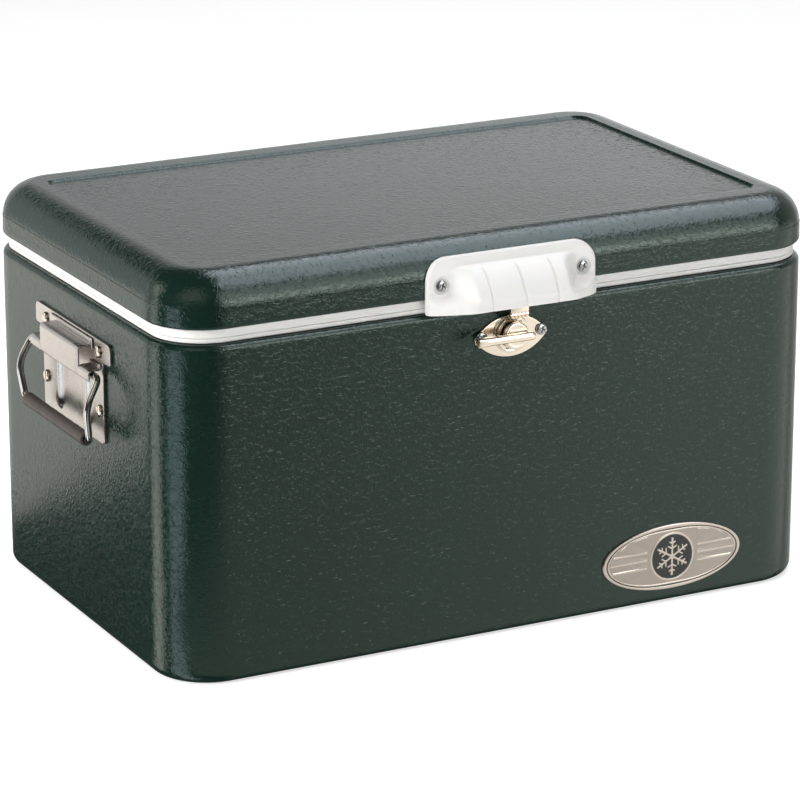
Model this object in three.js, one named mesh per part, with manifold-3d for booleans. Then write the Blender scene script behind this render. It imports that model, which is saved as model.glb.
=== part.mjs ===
// Steel-clad ice chest with a hinged lid, a turn-handle latch, two drop bails and a screw-capped drain.
// Millimetres, +Z up. Origin: centre of the underside. +X is the chest's right end, -Y its front.
// Hardware is drawn in a "wall frame": x points out of the wall it sits on, y runs along the wall.
import * as THREE from "three";
import { mergeVertices } from "three/addons/utils/BufferGeometryUtils.js";
import Module from "manifold-3d";

const wasm = await Module();
wasm.setup();

// ---- Driving dimensions ------------------------------------------------------------------------
const WIDTH = 600;
const DEPTH = 386;
const HEIGHT = 340;
const CORNER = 50; // plan radius of the upright corners
const SHEET = 1; // steel skin, with its enamel
const GAP = 0.3; // working gap between touching pieces
const FOAM_GAP = 0.8; // the foam's skin stands back from the walls that hold it

const BODY_TOP = 284;
const BODY_BOTTOM_EDGE = 10;
const BODY_TOP_EDGE = 5;
const BAND_INSET = 5; // the white band stands back from the skins
const FLANGE_TOP = 288.3;
const RIM_BOTTOM = 288.9;
const LID_BOTTOM = 296;
const LID_BOTTOM_EDGE = 3;
const LID_EDGE = 28;
const RECESS = { halfWidth: 264, halfDepth: 150, corner: 8, depth: 2, slope: 3 };

const HEM = 8; // the skins' edges turn in this far
const BASE_HEM = 22;
const TUB = { wall: 26, floor: 30, corner: 30, bottomEdge: 10, plastic: 2.5, draft: 7 };
const PLUG = { clearance: 3, bottom: 277, plastic: 2.5, edge: 6 };
const RIM_EDGE = 1.2;
const GASKET = { outer: 13, inner: 23, channel: 4 };
const PAN = { thickness: 1.2, wall: 23, pit: 25, rim: 14 };
const PAN_BEAD = { at: 150, length: 240, width: 14, rise: 2 };

const HANDLE = { half: 78, bottom: 285, wall: 3, wrap: 37, reach: 28, corner: 20, height: 44 };
const HANDLE_SCREWS = { at: 65, z: 308 };
const GROOVES = { at: [-30, 0, 30], half: 0.9, depth: 1, bottom: 298 };
// Half outlines of the pull and of its hollow, seen from the front, as [along, height] pairs.
const PULL_FACE = [[78, 285], [78, 294], [52, 300], [44, 323]];
const HOLLOW_FACE = [[60, 250], [60, 290], [46, 298], [40, 323]];
const LATCH_Z = 259.5;
const LATCH = { half: 34, rise: 17.5, thickness: 1.7, screwAt: 27.5 };
const BOSS = { outer: 6.5, inner: 3.7, reach: 8.2 };
const KNOB = { disc: 11.5, discFrom: 8.6, discTo: 12, left: 39, right: 15, bar: 7, barTo: 19 };
const STRAP = { half: 8.15, thickness: 1.5, fork: 15, slot: 7.3, reach: 5.3 };
// The keeper's middle line, from inside the handle down to its fork, as [out, height] pairs.
const STRAP_PATH = [[4.5, 309], [4.5, 297], [6.5, 293.5], [14.5, 290.5], [16.2, 287.5], [16.2, 280.5],
  [14.5, 278.5], [6.5, 275.8], [5.3, 273.5], [5.3, 270]];

const BRACKET = { top: 258.5, step: 241, bottom: 171, topHalf: 77.5, half: 62.5, thickness: 2 };
const BRACKET_SCREWS = [[55, 248.5], [-55, 248.5], [55, 198.5], [-55, 198.5]];
const RIB = { at: 29, width: 12, height: 47, z: 201.5, corner: 5.4, rise: 2.6, edge: 1.4 };
const HOOD = { half: 40, ear: 61, reach: 14.5, top: 250.5, earTop: 235.5, bottom: 226, sheet: 1.5 };
const HOOD_FLANGE = { half: 44, overlap: 3, top: 256.5 };
const BAIL = { wire: 3, bend: 6.5, grip: 5.8, gripHalf: 62, gripOut: 17.6, gripZ: 178.5 };
// Half the bail's corners, from its pivot end to its grip, as [out, along, height].
const BAIL_CORNERS = [[8.8, 50, 230.5], [8.8, 69.5, 230.5], [21.6, 71.5, 208], [17.6, 67.5, 178.5]];

const BADGE = { x: 157.5, z: 41.7, halfWidth: 67.5, halfHeight: 28.75, thickness: 2.2 };
const HINGE = { at: 170, half: 30, axis: 4.5, z: 290, barrel: 4, pin: 1.8, leaf: 1.5, screws: [-18, 18] };
const BODY_LEAF = { bottom: 250, top: 282, knuckles: [[-30, -11], [11, 30]], play: 0.05, screwZ: 264 };
const LID_LEAF = { bottom: 297, top: 311, knuckles: [[-10.6, 10.6]], play: 0.22, screwZ: 304 };
const DRAIN = { y: 115, z: 52, bore: 6, tube: 11, hole: 11.5, flange: 17, neck: 9.5, from: -40, to: 14 };
const NUT = { radius: 14.5, from: -38.5, to: -34.5 };
const CAP = { from: 4.2, washer: 1.8, to: 19, outer: 14.2, ribs: 16, ripple: 0.5 };

const PAN_SCREW = { head: 4.9, rise: 2.4, shank: 2.2, length: 11 };
const DOME_SCREW = { head: 5.2, rise: 2.6, shank: 2.2, length: 11 };
const HINGE_SCREW = { head: 3.6, rise: 1.8, shank: 1.8, length: 9 };
const ARC_STEPS = 3; // each quarter arc becomes twice this many chords
const EDGE_STEPS = 3; // chords across a rounded rim
const ROUND = 18; // sides of a turned piece
const SCREW_SIDES = 10;

// ---- Finishes ----------------------------------------------------------------------------------
const finish = (color, roughness, metalness) => () =>
  new THREE.MeshStandardMaterial({ color, roughness, metalness });
const enamel = finish(0x24382f, 0.28, 0.2);
const whitePlastic = finish(0xf1f0ec, 0.45, 0);
const foamFill = finish(0xe9e2c6, 0.95, 0);
const sealVinyl = finish(0xdfddd6, 0.7, 0);
const nickel = finish(0xd8cfc4, 0.22, 1);
const stainless = finish(0xbfb9b5, 0.38, 1);
const vinylGrip = finish(0x4b4441, 0.55, 0);
const pewter = finish(0xa9aaa6, 0.35, 0.9);

// ---- Solids ------------------------------------------------------------------------------------
function solid(geometry) {
  const bare = geometry.clone();
  bare.deleteAttribute("normal");
  bare.deleteAttribute("uv");
  const merged = mergeVertices(bare, 1e-4);
  const vertProperties = new Float32Array(merged.attributes.position.array);
  const triVerts = new Uint32Array(merged.index.array);
  return new wasm.Manifold(new wasm.Mesh({ numProp: 3, vertProperties, triVerts }));
}

function geometryOf(body) {
  const mesh = body.getMesh();
  const geometry = new THREE.BufferGeometry();
  geometry.setAttribute("position", new THREE.Float32BufferAttribute(mesh.vertProperties, 3));
  geometry.setIndex(new THREE.Uint32BufferAttribute(mesh.triVerts, 1));
  geometry.computeVertexNormals();
  return geometry;
}

const cutAll = (body, tools) => tools.reduce((left, tool) => left.subtract(tool), body);
const joinAll = (bodies) => bodies.reduce((whole, body) => whole.add(body));

function box(x0, x1, y0, y1, z0, z1) {
  const geometry = new THREE.BoxGeometry(x1 - x0, y1 - y0, z1 - z0);
  return solid(geometry.translate((x0 + x1) / 2, (y0 + y1) / 2, (z0 + z1) / 2));
}

// A closed profile of [radius, distance] pairs turned about the x axis at height z and offset y.
function turned(profile, y, z, sides = ROUND) {
  const points = profile.map(([radius, along]) => new THREE.Vector2(radius, along));
  const geometry = new THREE.LatheGeometry(points, sides);
  return solid(geometry.rotateZ(-Math.PI / 2).translate(0, y, z));
}

const rod = (radius, x0, x1, y, z, sides = ROUND) =>
  turned([[0, x0], [radius, x0], [radius, x1], [0, x1]], y, z, sides);

// A rounded rectangle centred on (x, y).
function roundedRect(width, height, radius, x = 0, y = 0) {
  const right = width / 2 - radius;
  const top = height / 2 - radius;
  const shape = new THREE.Shape();
  shape.absarc(x + right, y + top, radius, 0, Math.PI / 2);
  shape.absarc(x - right, y + top, radius, Math.PI / 2, Math.PI);
  shape.absarc(x - right, y - top, radius, Math.PI, 1.5 * Math.PI);
  shape.absarc(x + right, y - top, radius, 1.5 * Math.PI, 2 * Math.PI);
  return shape;
}

// A shape extruded from z0 to z1 with both its rims rounded (or sloped, with one bevel segment).
function rimmed(shape, z0, z1, edge, rise = edge, bevelSegments = EDGE_STEPS, curveSegments = ARC_STEPS) {
  const settings = { depth: z1 - z0 - 2 * rise, curveSegments, bevelEnabled: edge > 0 };
  if (edge > 0)
    Object.assign(settings, {
      bevelSize: edge, bevelThickness: rise, bevelOffset: -edge, bevelSegments,
    });
  return solid(new THREE.ExtrudeGeometry(shape, settings).translate(0, 0, z0 + rise));
}

// A block on a rounded plan, with its own edge radius at the top and at the bottom.
function block(width, depth, corner, z0, z1, edges = {}) {
  const { top = 0, bottom = 0, steps = EDGE_STEPS, arcs = ARC_STEPS } = edges;
  const plan = roundedRect(width, depth, corner);
  const upper = rimmed(plan, z0 - 2 * top, z1, top, top, steps, arcs);
  const lower = rimmed(plan, z0, z1 + 2 * bottom, bottom, bottom, steps, arcs);
  return upper.intersect(lower);
}

// A shape in the wall frame's x-z plane, carried along the wall from y0 to y1.
function alongWall(shape, y0, y1, curveSegments = ARC_STEPS) {
  const geometry = new THREE.ExtrudeGeometry(shape, { depth: y1 - y0, bevelEnabled: false, curveSegments });
  return solid(geometry.rotateX(Math.PI / 2).translate(0, y1, 0));
}

// A shape in the wall's own y-z plane, given a thickness from x0 to x1.
function offWall(shape, x0, x1, edge = 0, curveSegments = ARC_STEPS) {
  const flat = rimmed(shape, x0, x1, edge, edge, 2, curveSegments);
  return solid(geometryOf(flat).rotateY(Math.PI / 2).rotateX(Math.PI / 2));
}

function polygon(points) {
  return new THREE.Shape(points.map(([x, y]) => new THREE.Vector2(x, y)));
}

// A strip of even thickness whose middle line runs through the given points.
function strip(points, thickness) {
  const middle = points.map(([x, y]) => new THREE.Vector2(x, y));
  const sides = [1, -1].map((side) =>
    middle.map((point, i) => {
      const before = middle[Math.max(i - 1, 0)];
      const after = middle[Math.min(i + 1, middle.length - 1)];
      const into = point.clone().sub(before).normalize();
      const out = after.clone().sub(point).normalize();
      const tangent = into.add(out).normalize();
      const along = i > 0 ? point.clone().sub(before).normalize() : tangent;
      const spread = (side * thickness) / 2 / Math.max(tangent.dot(along), 0.5);
      return point.clone().add(new THREE.Vector2(-tangent.y, tangent.x).multiplyScalar(spread));
    }),
  );
  return new THREE.Shape([...sides[0], ...sides[1].reverse()]);
}

// ---- Fasteners ---------------------------------------------------------------------------------
const screwHole = (size, y, z) => rod(size.shank + 0.3, -size.length - 1, 8, y, z, 8);

function screw(size, seat, y, z, crossed) {
  const arc = [0, 1, 2].map((i) => (i * Math.PI) / 4);
  const crown = arc.map((a) => [size.head * Math.cos(a), seat + size.rise * (0.35 + 0.65 * Math.sin(a))]);
  const tip = seat - size.length;
  const profile = [[0, tip], [size.shank, tip], [size.shank, seat], [size.head, seat], ...crown];
  profile[profile.length - 1][0] = 0;
  const body = turned(profile, y, z, SCREW_SIDES);
  if (!crossed) return body;
  const reach = size.head * 0.55;
  const face = [seat + size.rise * 0.5, seat + size.rise + 1];
  return cutAll(body, [
    box(...face, y - reach, y + reach, z - 0.5, z + 0.5),
    box(...face, y - 0.5, y + 0.5, z - reach, z + reach),
  ]);
}

// ---- Walls: where each group of hardware sits --------------------------------------------------
const WALLS = {
  front: { turn: -Math.PI / 2, x: 0, y: -DEPTH / 2 },
  rear: { turn: Math.PI / 2, x: 0, y: DEPTH / 2 },
  left: { turn: Math.PI, x: -WIDTH / 2, y: 0 },
  right: { turn: 0, x: WIDTH / 2, y: 0 },
};

// A tool drawn in a wall frame, moved to the chest's frame.
function onWall(name, tool) {
  const wall = WALLS[name];
  return solid(geometryOf(tool).rotateZ(wall.turn).translate(wall.x, wall.y, 0));
}

// ---- Body --------------------------------------------------------------------------------------
function bodyHoles() {
  const holes = [];
  for (const end of ["left", "right"])
    for (const [y, z] of BRACKET_SCREWS) holes.push(onWall(end, screwHole(DOME_SCREW, y, z)));
  for (const y of [-LATCH.screwAt, LATCH.screwAt])
    holes.push(onWall("front", screwHole(PAN_SCREW, y, LATCH_Z)));
  for (const centre of [-HINGE.at, HINGE.at])
    for (const y of HINGE.screws)
      holes.push(onWall("rear", screwHole(HINGE_SCREW, centre + y, BODY_LEAF.screwZ)));
  holes.push(onWall("right", rod(DRAIN.hole, -60, 10, DRAIN.y, DRAIN.z)));
  return holes;
}

// The tub's inside grown outwards by "grow": drafted, so it narrows towards its floor.
function tubPlug(grow, z0, z1) {
  const width = WIDTH - 2 * TUB.wall + 2 * grow;
  const depth = DEPTH - 2 * TUB.wall + 2 * grow;
  const straight = block(width, depth, TUB.corner + grow, z0, z1, { bottom: TUB.bottomEdge + grow });
  const geometry = geometryOf(straight);
  const position = geometry.attributes.position;
  for (let i = 0; i < position.count; i += 1) {
    const inset = (TUB.draft * (FLANGE_TOP - position.getZ(i))) / (FLANGE_TOP - TUB.floor);
    position.setX(i, position.getX(i) * (1 - (2 * inset) / width));
    position.setY(i, position.getY(i) * (1 - (2 * inset) / depth));
  }
  return solid(geometry);
}

function shellSpace(inset, steps = EDGE_STEPS, arcs = ARC_STEPS) {
  return block(WIDTH - 2 * inset, DEPTH - 2 * inset, CORNER - inset, inset, BODY_TOP - inset, {
    top: BODY_TOP_EDGE - inset,
    bottom: BODY_BOTTOM_EDGE - inset,
    steps,
    arcs,
  });
}

function outerShell() {
  const outside = block(WIDTH, DEPTH, CORNER, 0, BODY_TOP, { top: BODY_TOP_EDGE, bottom: BODY_BOTTOM_EDGE });
  const mouth = block(WIDTH - 2 * HEM, DEPTH - 2 * HEM, CORNER - HEM, BODY_TOP - 20, BODY_TOP + 10);
  const base = block(WIDTH - 2 * BASE_HEM, DEPTH - 2 * BASE_HEM, CORNER - BASE_HEM, -10, 20);
  return cutAll(outside, [shellSpace(SHEET), mouth, base, ...bodyHoles()]);
}

// The pan's floor lies level with the shell's turned-in hem, and its rim is joggled up on to it.
function basePan() {
  const layer = (inset, z0, z1) =>
    block(WIDTH - 2 * inset, DEPTH - 2 * inset, CORNER - inset, z0, z1, { arcs: 2 });
  const top = SHEET + GAP + PAN.thickness;
  const wall = layer(PAN.wall, 0, top);
  const pit = layer(PAN.pit, PAN.thickness, 10);
  const rim = layer(PAN.rim, SHEET + GAP, top);
  const beads = [-PAN_BEAD.at, PAN_BEAD.at].map((x) => {
    const plan = roundedRect(PAN_BEAD.width, PAN_BEAD.length, 6, x, 0);
    return rimmed(plan, 0, PAN.thickness + PAN_BEAD.rise, 1.5, 1.5, 1, 1);
  });
  return joinAll([wall.add(rim).subtract(pit), ...beads]);
}

function bodyFoam() {
  const liner = tubPlug(TUB.plastic + FOAM_GAP, TUB.floor - TUB.plastic - FOAM_GAP, BODY_TOP + 10);
  const underside = block(WIDTH, DEPTH, CORNER, -5, 5);
  const fill = shellSpace(SHEET + FOAM_GAP, 1, 2);
  return cutAll(fill, [liner, underside, ...bodyHoles()]);
}

function innerLiner() {
  const inset = 2 * BAND_INSET;
  const flange = block(WIDTH - inset, DEPTH - inset, CORNER - BAND_INSET, BODY_TOP + GAP, FLANGE_TOP, {
    top: RIM_EDGE,
  });
  const outside = tubPlug(TUB.plastic, TUB.floor - TUB.plastic, FLANGE_TOP - 2);
  const inside = tubPlug(0, TUB.floor, FLANGE_TOP + 4);
  const drain = onWall("right", rod(DRAIN.hole, -60, 10, DRAIN.y, DRAIN.z));
  return cutAll(flange.add(outside), [inside, drain]);
}

function frontBadge() {
  const oval = (inset) => {
    const shape = new THREE.Shape();
    shape.absellipse(
      BADGE.x, BADGE.z, BADGE.halfWidth - inset, BADGE.halfHeight - inset, 0, 2 * Math.PI, false, 0,
    );
    return shape;
  };
  const plate = offWall(oval(0), GAP, GAP + BADGE.thickness, 0.8, 12);
  return plate.subtract(offWall(oval(2.6), GAP + BADGE.thickness - 0.6, 6, 0, 12));
}

// ---- Latch -------------------------------------------------------------------------------------
// The eye-shaped plate is where two equal circles overlap.
function latchPlate() {
  const { half, rise } = LATCH;
  const radius = (half * half + rise * rise) / (2 * rise);
  const reach = Math.asin(half / radius) * 0.97;
  const eye = new THREE.Shape();
  const top = LATCH_Z - 2 + rise - radius;
  const bottom = LATCH_Z - 2 - rise + radius;
  eye.absarc(0, top, radius, Math.PI / 2 - reach, Math.PI / 2 + reach);
  eye.absarc(0, bottom, radius, 1.5 * Math.PI - reach, 1.5 * Math.PI + reach);
  const plate = offWall(eye, GAP, GAP + LATCH.thickness, 0.6, 5);
  const holes = [-LATCH.screwAt, LATCH.screwAt].map((y) => screwHole(PAN_SCREW, y, LATCH_Z));
  return cutAll(plate, holes);
}

function latchBoss() {
  const seat = GAP + LATCH.thickness + GAP;
  const { outer, inner, reach } = BOSS;
  return turned([[inner, seat], [outer, seat], [outer, reach], [inner, reach], [inner, seat]], 0, LATCH_Z);
}

function latchKnob() {
  const seat = GAP + LATCH.thickness + 2 * GAP;
  const { disc, discFrom, discTo, left, right, bar, barTo } = KNOB;
  const stem = rod(BOSS.inner - 0.25, seat, discFrom + 1, 0, LATCH_Z, 16);
  const rim = [[disc - 0.6, discFrom], [disc, discFrom + 0.6], [disc, discTo - 1], [disc - 1, discTo]];
  const face = turned([[0, discFrom], ...rim, [0, discTo]], 0, LATCH_Z);
  const grip = roundedRect(left + right, bar, bar / 2 - 0.3, (right - left) / 2, LATCH_Z);
  const handle = offWall(grip, discTo - 0.5, barTo, 2.2);
  const endHalf = bar / 2 - 0.8;
  const squareEnd = box(discTo, barTo, -left, -left + bar / 2, LATCH_Z - endHalf, LATCH_Z + endHalf);
  const middle = (discTo + barTo) / 2 + 0.2;
  const socket = box(middle - 2, middle + 2, -left - 1, -left + 9, LATCH_Z - 1.9, LATCH_Z + 1.9);
  return joinAll([stem, face, handle, squareEnd]).subtract(socket);
}

// ---- Lid ---------------------------------------------------------------------------------------
function lidHoles() {
  const { at, z } = HANDLE_SCREWS;
  const holes = [-at, at].map((y) => onWall("front", screwHole(PAN_SCREW, y, z)));
  for (const centre of [-HINGE.at, HINGE.at])
    for (const y of HINGE.screws)
      holes.push(onWall("rear", screwHole(HINGE_SCREW, centre + y, LID_LEAF.screwZ)));
  return holes;
}

// The lid's shape taken in by "inset" all round, with the shallow panel sunk in its top.
function lidSpace(inset, z0, bottom, steps = EDGE_STEPS + 1, arcs = ARC_STEPS) {
  const outside = block(WIDTH - 2 * inset, DEPTH - 2 * inset, CORNER - inset, z0, HEIGHT - inset, {
    top: LID_EDGE - inset,
    bottom,
    steps,
    arcs,
  });
  const { halfWidth, halfDepth, corner, depth, slope } = RECESS;
  const plan = roundedRect(2 * (halfWidth + inset), 2 * (halfDepth + inset), corner + inset);
  const floor = HEIGHT - depth - inset;
  return outside.subtract(rimmed(plan, floor, floor + 12, slope, depth, 1));
}

function lidSkin() {
  const outside = lidSpace(0, LID_BOTTOM, LID_BOTTOM_EDGE);
  const inside = lidSpace(SHEET, LID_BOTTOM + SHEET, LID_BOTTOM_EDGE - SHEET);
  const mouth = block(WIDTH - 2 * HEM, DEPTH - 2 * HEM, CORNER - HEM, LID_BOTTOM - 10, LID_BOTTOM + 10);
  return cutAll(outside, [inside, mouth, ...lidHoles()]);
}

function plug(grow, z0, z1, edge, steps = EDGE_STEPS) {
  const inset = TUB.wall + PLUG.clearance - grow;
  return block(WIDTH - 2 * inset, DEPTH - 2 * inset, TUB.corner + grow - PLUG.clearance, z0, z1, {
    bottom: edge,
    steps,
  });
}

function lidFoam() {
  const tray = block(WIDTH, DEPTH, CORNER, LID_BOTTOM - 30, LID_BOTTOM + SHEET + FOAM_GAP);
  const fill = lidSpace(SHEET + FOAM_GAP, LID_BOTTOM, 0, 3, 2);
  const lining = PLUG.plastic + FOAM_GAP;
  const core = plug(-lining, PLUG.bottom + lining, LID_BOTTOM + 6, PLUG.edge - 1, 1);
  return cutAll(fill.subtract(tray).add(core), lidHoles());
}

function lidLiner() {
  const inset = 2 * BAND_INSET;
  const corner = CORNER - BAND_INSET;
  const rim = block(WIDTH - inset, DEPTH - inset, corner, RIM_BOTTOM, LID_BOTTOM - GAP, { bottom: RIM_EDGE });
  const sunk = inset + 2 * GASKET.channel;
  const roof = RIM_BOTTOM + GASKET.channel;
  const channel = block(WIDTH - sunk, DEPTH - sunk, corner - GASKET.channel, RIM_BOTTOM - 5, roof);
  const cup = plug(0, PLUG.bottom, LID_BOTTOM - GAP, PLUG.edge);
  const inside = plug(-PLUG.plastic, PLUG.bottom + PLUG.plastic, LID_BOTTOM + 5, PLUG.edge - 1);
  return rim.subtract(channel).add(cup).subtract(inside);
}

function lidGasket() {
  const z0 = FLANGE_TOP + GAP;
  const z1 = RIM_BOTTOM + GASKET.channel - GAP;
  const layer = (inset, low, high) =>
    block(WIDTH - 2 * inset, DEPTH - 2 * inset, CORNER - inset, low, high, { arcs: 2 });
  return layer(GASKET.outer, z0, z1).subtract(layer(GASKET.inner, z0 - 5, z1 + 5));
}

// The handle's back follows the lid: straight up the front wall, then round the lid's top edge.
function handleBack(from, to) {
  const wrap = (HANDLE.wrap * Math.PI) / 180;
  const centre = HEIGHT - LID_EDGE;
  const shape = new THREE.Shape();
  shape.moveTo(from, HANDLE.bottom);
  shape.lineTo(to, HANDLE.bottom);
  shape.absarc(-LID_EDGE, centre, LID_EDGE + to, 0, wrap);
  shape.absarc(-LID_EDGE, centre, LID_EDGE + from, wrap, 0, true);
  return shape;
}

// The pull's section: a full curve from the top of the handle out to a rounded lip.
function pullSection(inset) {
  const { reach, bottom, wall } = HANDLE;
  const shape = new THREE.Shape();
  const lip = bottom + 8;
  const root = inset === 0 ? wall - 1 : wall + 0.1;
  shape.moveTo(root, bottom + 1 - 8 * inset);
  shape.lineTo(reach - 8, bottom + 3 - 8 * inset);
  if (inset === 0) shape.absarc(reach - 5, lip, 5, 1.5 * Math.PI, 2 * Math.PI);
  else shape.lineTo(reach - inset, lip);
  shape.bezierCurveTo(reach - inset, lip + 12, reach - 8 - inset, 321 - 1.5 * inset, root, 322 - inset);
  return shape;
}

// Seen from above, the pull bows out from the ends of the handle to its full reach in the middle.
function pullPlan(inset) {
  const half = HANDLE.half - inset;
  const reach = HANDLE.reach - inset;
  const shape = new THREE.Shape();
  shape.moveTo(0, -half);
  shape.lineTo(HANDLE.wall + 1, -half);
  shape.bezierCurveTo(reach - 6, -half + 6, reach, -52 + inset, reach, -30);
  shape.lineTo(reach, 30);
  shape.bezierCurveTo(reach, 52 - inset, reach - 6, half - 6, HANDLE.wall + 1, half);
  shape.lineTo(0, half);
  return shape;
}

// A half outline in the wall's y-z plane, mirrored and carried out from the wall.
function mirrored(half, x0, x1) {
  const other = half.map(([y, z]) => [-y, z]).reverse();
  return offWall(polygon([...half, ...other]), x0, x1);
}

function handleGrooves() {
  const { at, half, depth, bottom } = GROOVES;
  const reach = box(HANDLE.wall + 1, 40, -HANDLE.half, HANDLE.half, bottom, 330);
  return at.map((y) => {
    const whole = alongWall(pullSection(0), y - half, y + half);
    const kept = alongWall(pullSection(depth), y - 2 * half, y + 2 * half);
    return whole.subtract(kept).intersect(reach);
  });
}

function lidHandle() {
  const { half, bottom, wall, corner, height } = HANDLE;
  const back = alongWall(handleBack(GAP, wall), -half, half);
  // Only the outline's two upper corners are rounded, so it runs on below the handle.
  const below = 30;
  const outline = roundedRect(2 * half, height + below, corner, 0, bottom + (height - below) / 2);
  const front = offWall(outline, -30, 40);
  const section = alongWall(pullSection(0), -half, half);
  const plan = rimmed(pullPlan(0), bottom - 10, 330, 0);
  const inside = alongWall(pullSection(wall), -half, half);
  const insidePlan = rimmed(pullPlan(wall), bottom - 85, 330, 0);
  const hollow = inside.intersect(insidePlan).intersect(mirrored(HOLLOW_FACE, 0, 40));
  const pull = section.intersect(plan).intersect(mirrored(PULL_FACE, 0, 40)).subtract(hollow);
  const holes = [-HANDLE_SCREWS.at, HANDLE_SCREWS.at].map((y) => screwHole(PAN_SCREW, y, HANDLE_SCREWS.z));
  return cutAll(back.add(pull).intersect(front), [...handleGrooves(), ...holes]);
}

// The keeper: riveted inside the handle, stepped out and back, ending in a fork round the latch post.
function keeperStrap() {
  const { half, thickness, fork, slot, reach } = STRAP;
  const band = alongWall(strip(STRAP_PATH, thickness), -half, half);
  const ring = new THREE.Shape();
  ring.absarc(0, LATCH_Z, fork, 0, 2 * Math.PI);
  const from = reach - thickness / 2;
  const to = reach + thickness / 2;
  const plate = offWall(ring, from, to, 0, 16).add(box(from, to, -half, half, 268, 271));
  const post = rod(slot, 0, 20, 0, LATCH_Z);
  const throat = box(0, 20, -slot, slot, LATCH_Z - 40, LATCH_Z);
  return cutAll(band.add(plate), [post, throat]);
}

// ---- End brackets and bails --------------------------------------------------------------------
function bracketPlate() {
  const { top, step, bottom, topHalf, half, thickness } = BRACKET;
  const face = GAP + thickness;
  const tee = mirrored([[half, bottom], [half, step], [topHalf, step], [topHalf, top]], GAP, face);
  const rim = offWall(roundedRect(2 * topHalf, top - bottom, 5, 0, (top + bottom) / 2), -5, 10, 0, 2);
  const ribs = [-RIB.at, RIB.at].map((y) => {
    const shape = roundedRect(RIB.width, RIB.height, RIB.corner, y, RIB.z);
    return offWall(shape, face - 1.6, face + RIB.rise, RIB.edge, 1);
  });
  const holes = BRACKET_SCREWS.map(([y, z]) => screwHole(DOME_SCREW, y, z));
  return cutAll(joinAll([tee.intersect(rim), ...ribs]), holes);
}

// The hood covers the bail's pivot: a box-shaped channel, open below, with a lower ear on each side.
function bracketHood() {
  const { half, ear, reach, top, earTop, bottom, sheet } = HOOD;
  const flange = HOOD_FLANGE;
  const seat = GAP + BRACKET.thickness + GAP;
  const rounded = (height) => {
    const shape = new THREE.Shape();
    shape.moveTo(seat, bottom);
    shape.lineTo(reach, bottom);
    shape.absarc(reach - 3, height - 3, 3, 0, Math.PI / 2);
    shape.lineTo(seat, height);
    return shape;
  };
  const outside = joinAll([
    alongWall(rounded(top), -half, half),
    alongWall(rounded(earTop), -ear, ear),
    box(seat, seat + sheet, -flange.half, flange.half, top - flange.overlap, flange.top),
  ]);
  const inner = reach - sheet;
  return cutAll(outside, [
    box(0, inner, sheet - half, half - sheet, bottom - 5, top - sheet),
    box(seat + sheet, inner, -half - 1, half + 1, earTop, top - sheet),
    box(0, inner, -ear - 1, ear + 1, bottom - 5, earTop - sheet),
  ]);
}

// Straight runs joined by tight curves through the bail's corners.
function bentPath(corners, radius) {
  const path = new THREE.CurvePath();
  let start = corners[0];
  for (let i = 1; i < corners.length - 1; i += 1) {
    const before = corners[i].clone().sub(corners[i - 1]).normalize();
    const after = corners[i + 1].clone().sub(corners[i]).normalize();
    const enter = corners[i].clone().addScaledVector(before, -radius);
    const leave = corners[i].clone().addScaledVector(after, radius);
    path.add(new THREE.LineCurve3(start, enter));
    path.add(new THREE.QuadraticBezierCurve3(enter, corners[i], leave));
    start = leave;
  }
  path.add(new THREE.LineCurve3(start, corners[corners.length - 1]));
  return path;
}

function bailWire() {
  const corners = [...BAIL_CORNERS, ...BAIL_CORNERS.map(([x, y, z]) => [x, -y, z]).reverse()];
  const path = bentPath(corners.map((point) => new THREE.Vector3(...point)), BAIL.bend);
  const round = new THREE.Shape().absarc(0, 0, BAIL.wire, 0, 2 * Math.PI);
  const settings = { steps: 54, extrudePath: path, bevelEnabled: false, curveSegments: 3 };
  return solid(new THREE.ExtrudeGeometry(round, settings));
}

function bailGrip() {
  const { gripHalf: half, grip, wire, gripOut, gripZ } = BAIL;
  const inner = wire + 0.35;
  const profile = [[inner, -half], [grip - 0.8, -half], [grip, 0.8 - half], [grip, half - 0.8],
    [grip - 0.8, half], [inner, half], [inner, -half]];
  const points = profile.map(([radius, along]) => new THREE.Vector2(radius, along));
  return solid(new THREE.LatheGeometry(points, 14).translate(gripOut, 0, gripZ));
}

// ---- Rear hinges -------------------------------------------------------------------------------
// Each leaf is a plate on the rear wall with knuckles curled round the pin.
function hingeLeaf(centre, { bottom, top, knuckles, play, screwZ }) {
  const { half, axis, barrel, pin, leaf, z, screws } = HINGE;
  const shape = roundedRect(2 * half, top - bottom, 3, centre, (bottom + top) / 2);
  const plate = offWall(shape, GAP, GAP + leaf, 0, 1);
  const curls = knuckles.map(([from, to]) => {
    const ring = new THREE.Shape().absarc(axis, z, barrel, 0, 2 * Math.PI);
    const web = box(GAP, GAP + leaf, centre + from, centre + to, Math.min(z, screwZ), Math.max(z, screwZ));
    return alongWall(ring, centre + from, centre + to, 5).add(web);
  });
  const bore = new THREE.Shape().absarc(axis, z, pin + play, 0, 2 * Math.PI);
  const holes = screws.map((y) => screwHole(HINGE_SCREW, centre + y, screwZ));
  return cutAll(joinAll([plate, ...curls]), [alongWall(bore, centre - 40, centre + 40, 5), ...holes]);
}

function hingePin(centre) {
  const round = new THREE.Shape();
  round.absarc(HINGE.axis, HINGE.z, HINGE.pin, 0, 2 * Math.PI);
  return alongWall(round, centre - HINGE.half - 0.5, centre + HINGE.half + 0.5, 5);
}

// ---- Drain -------------------------------------------------------------------------------------
function drainSpout() {
  const { bore, tube, flange, neck, from, to, y, z } = DRAIN;
  const profile = [[bore, from], [tube, from], [tube, GAP], [flange, GAP], [flange, 2.5], [flange - 1, 3.3],
    [neck, 3.3], [neck, to], [bore, to], [bore, from]];
  return turned(profile, y, z);
}

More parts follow.
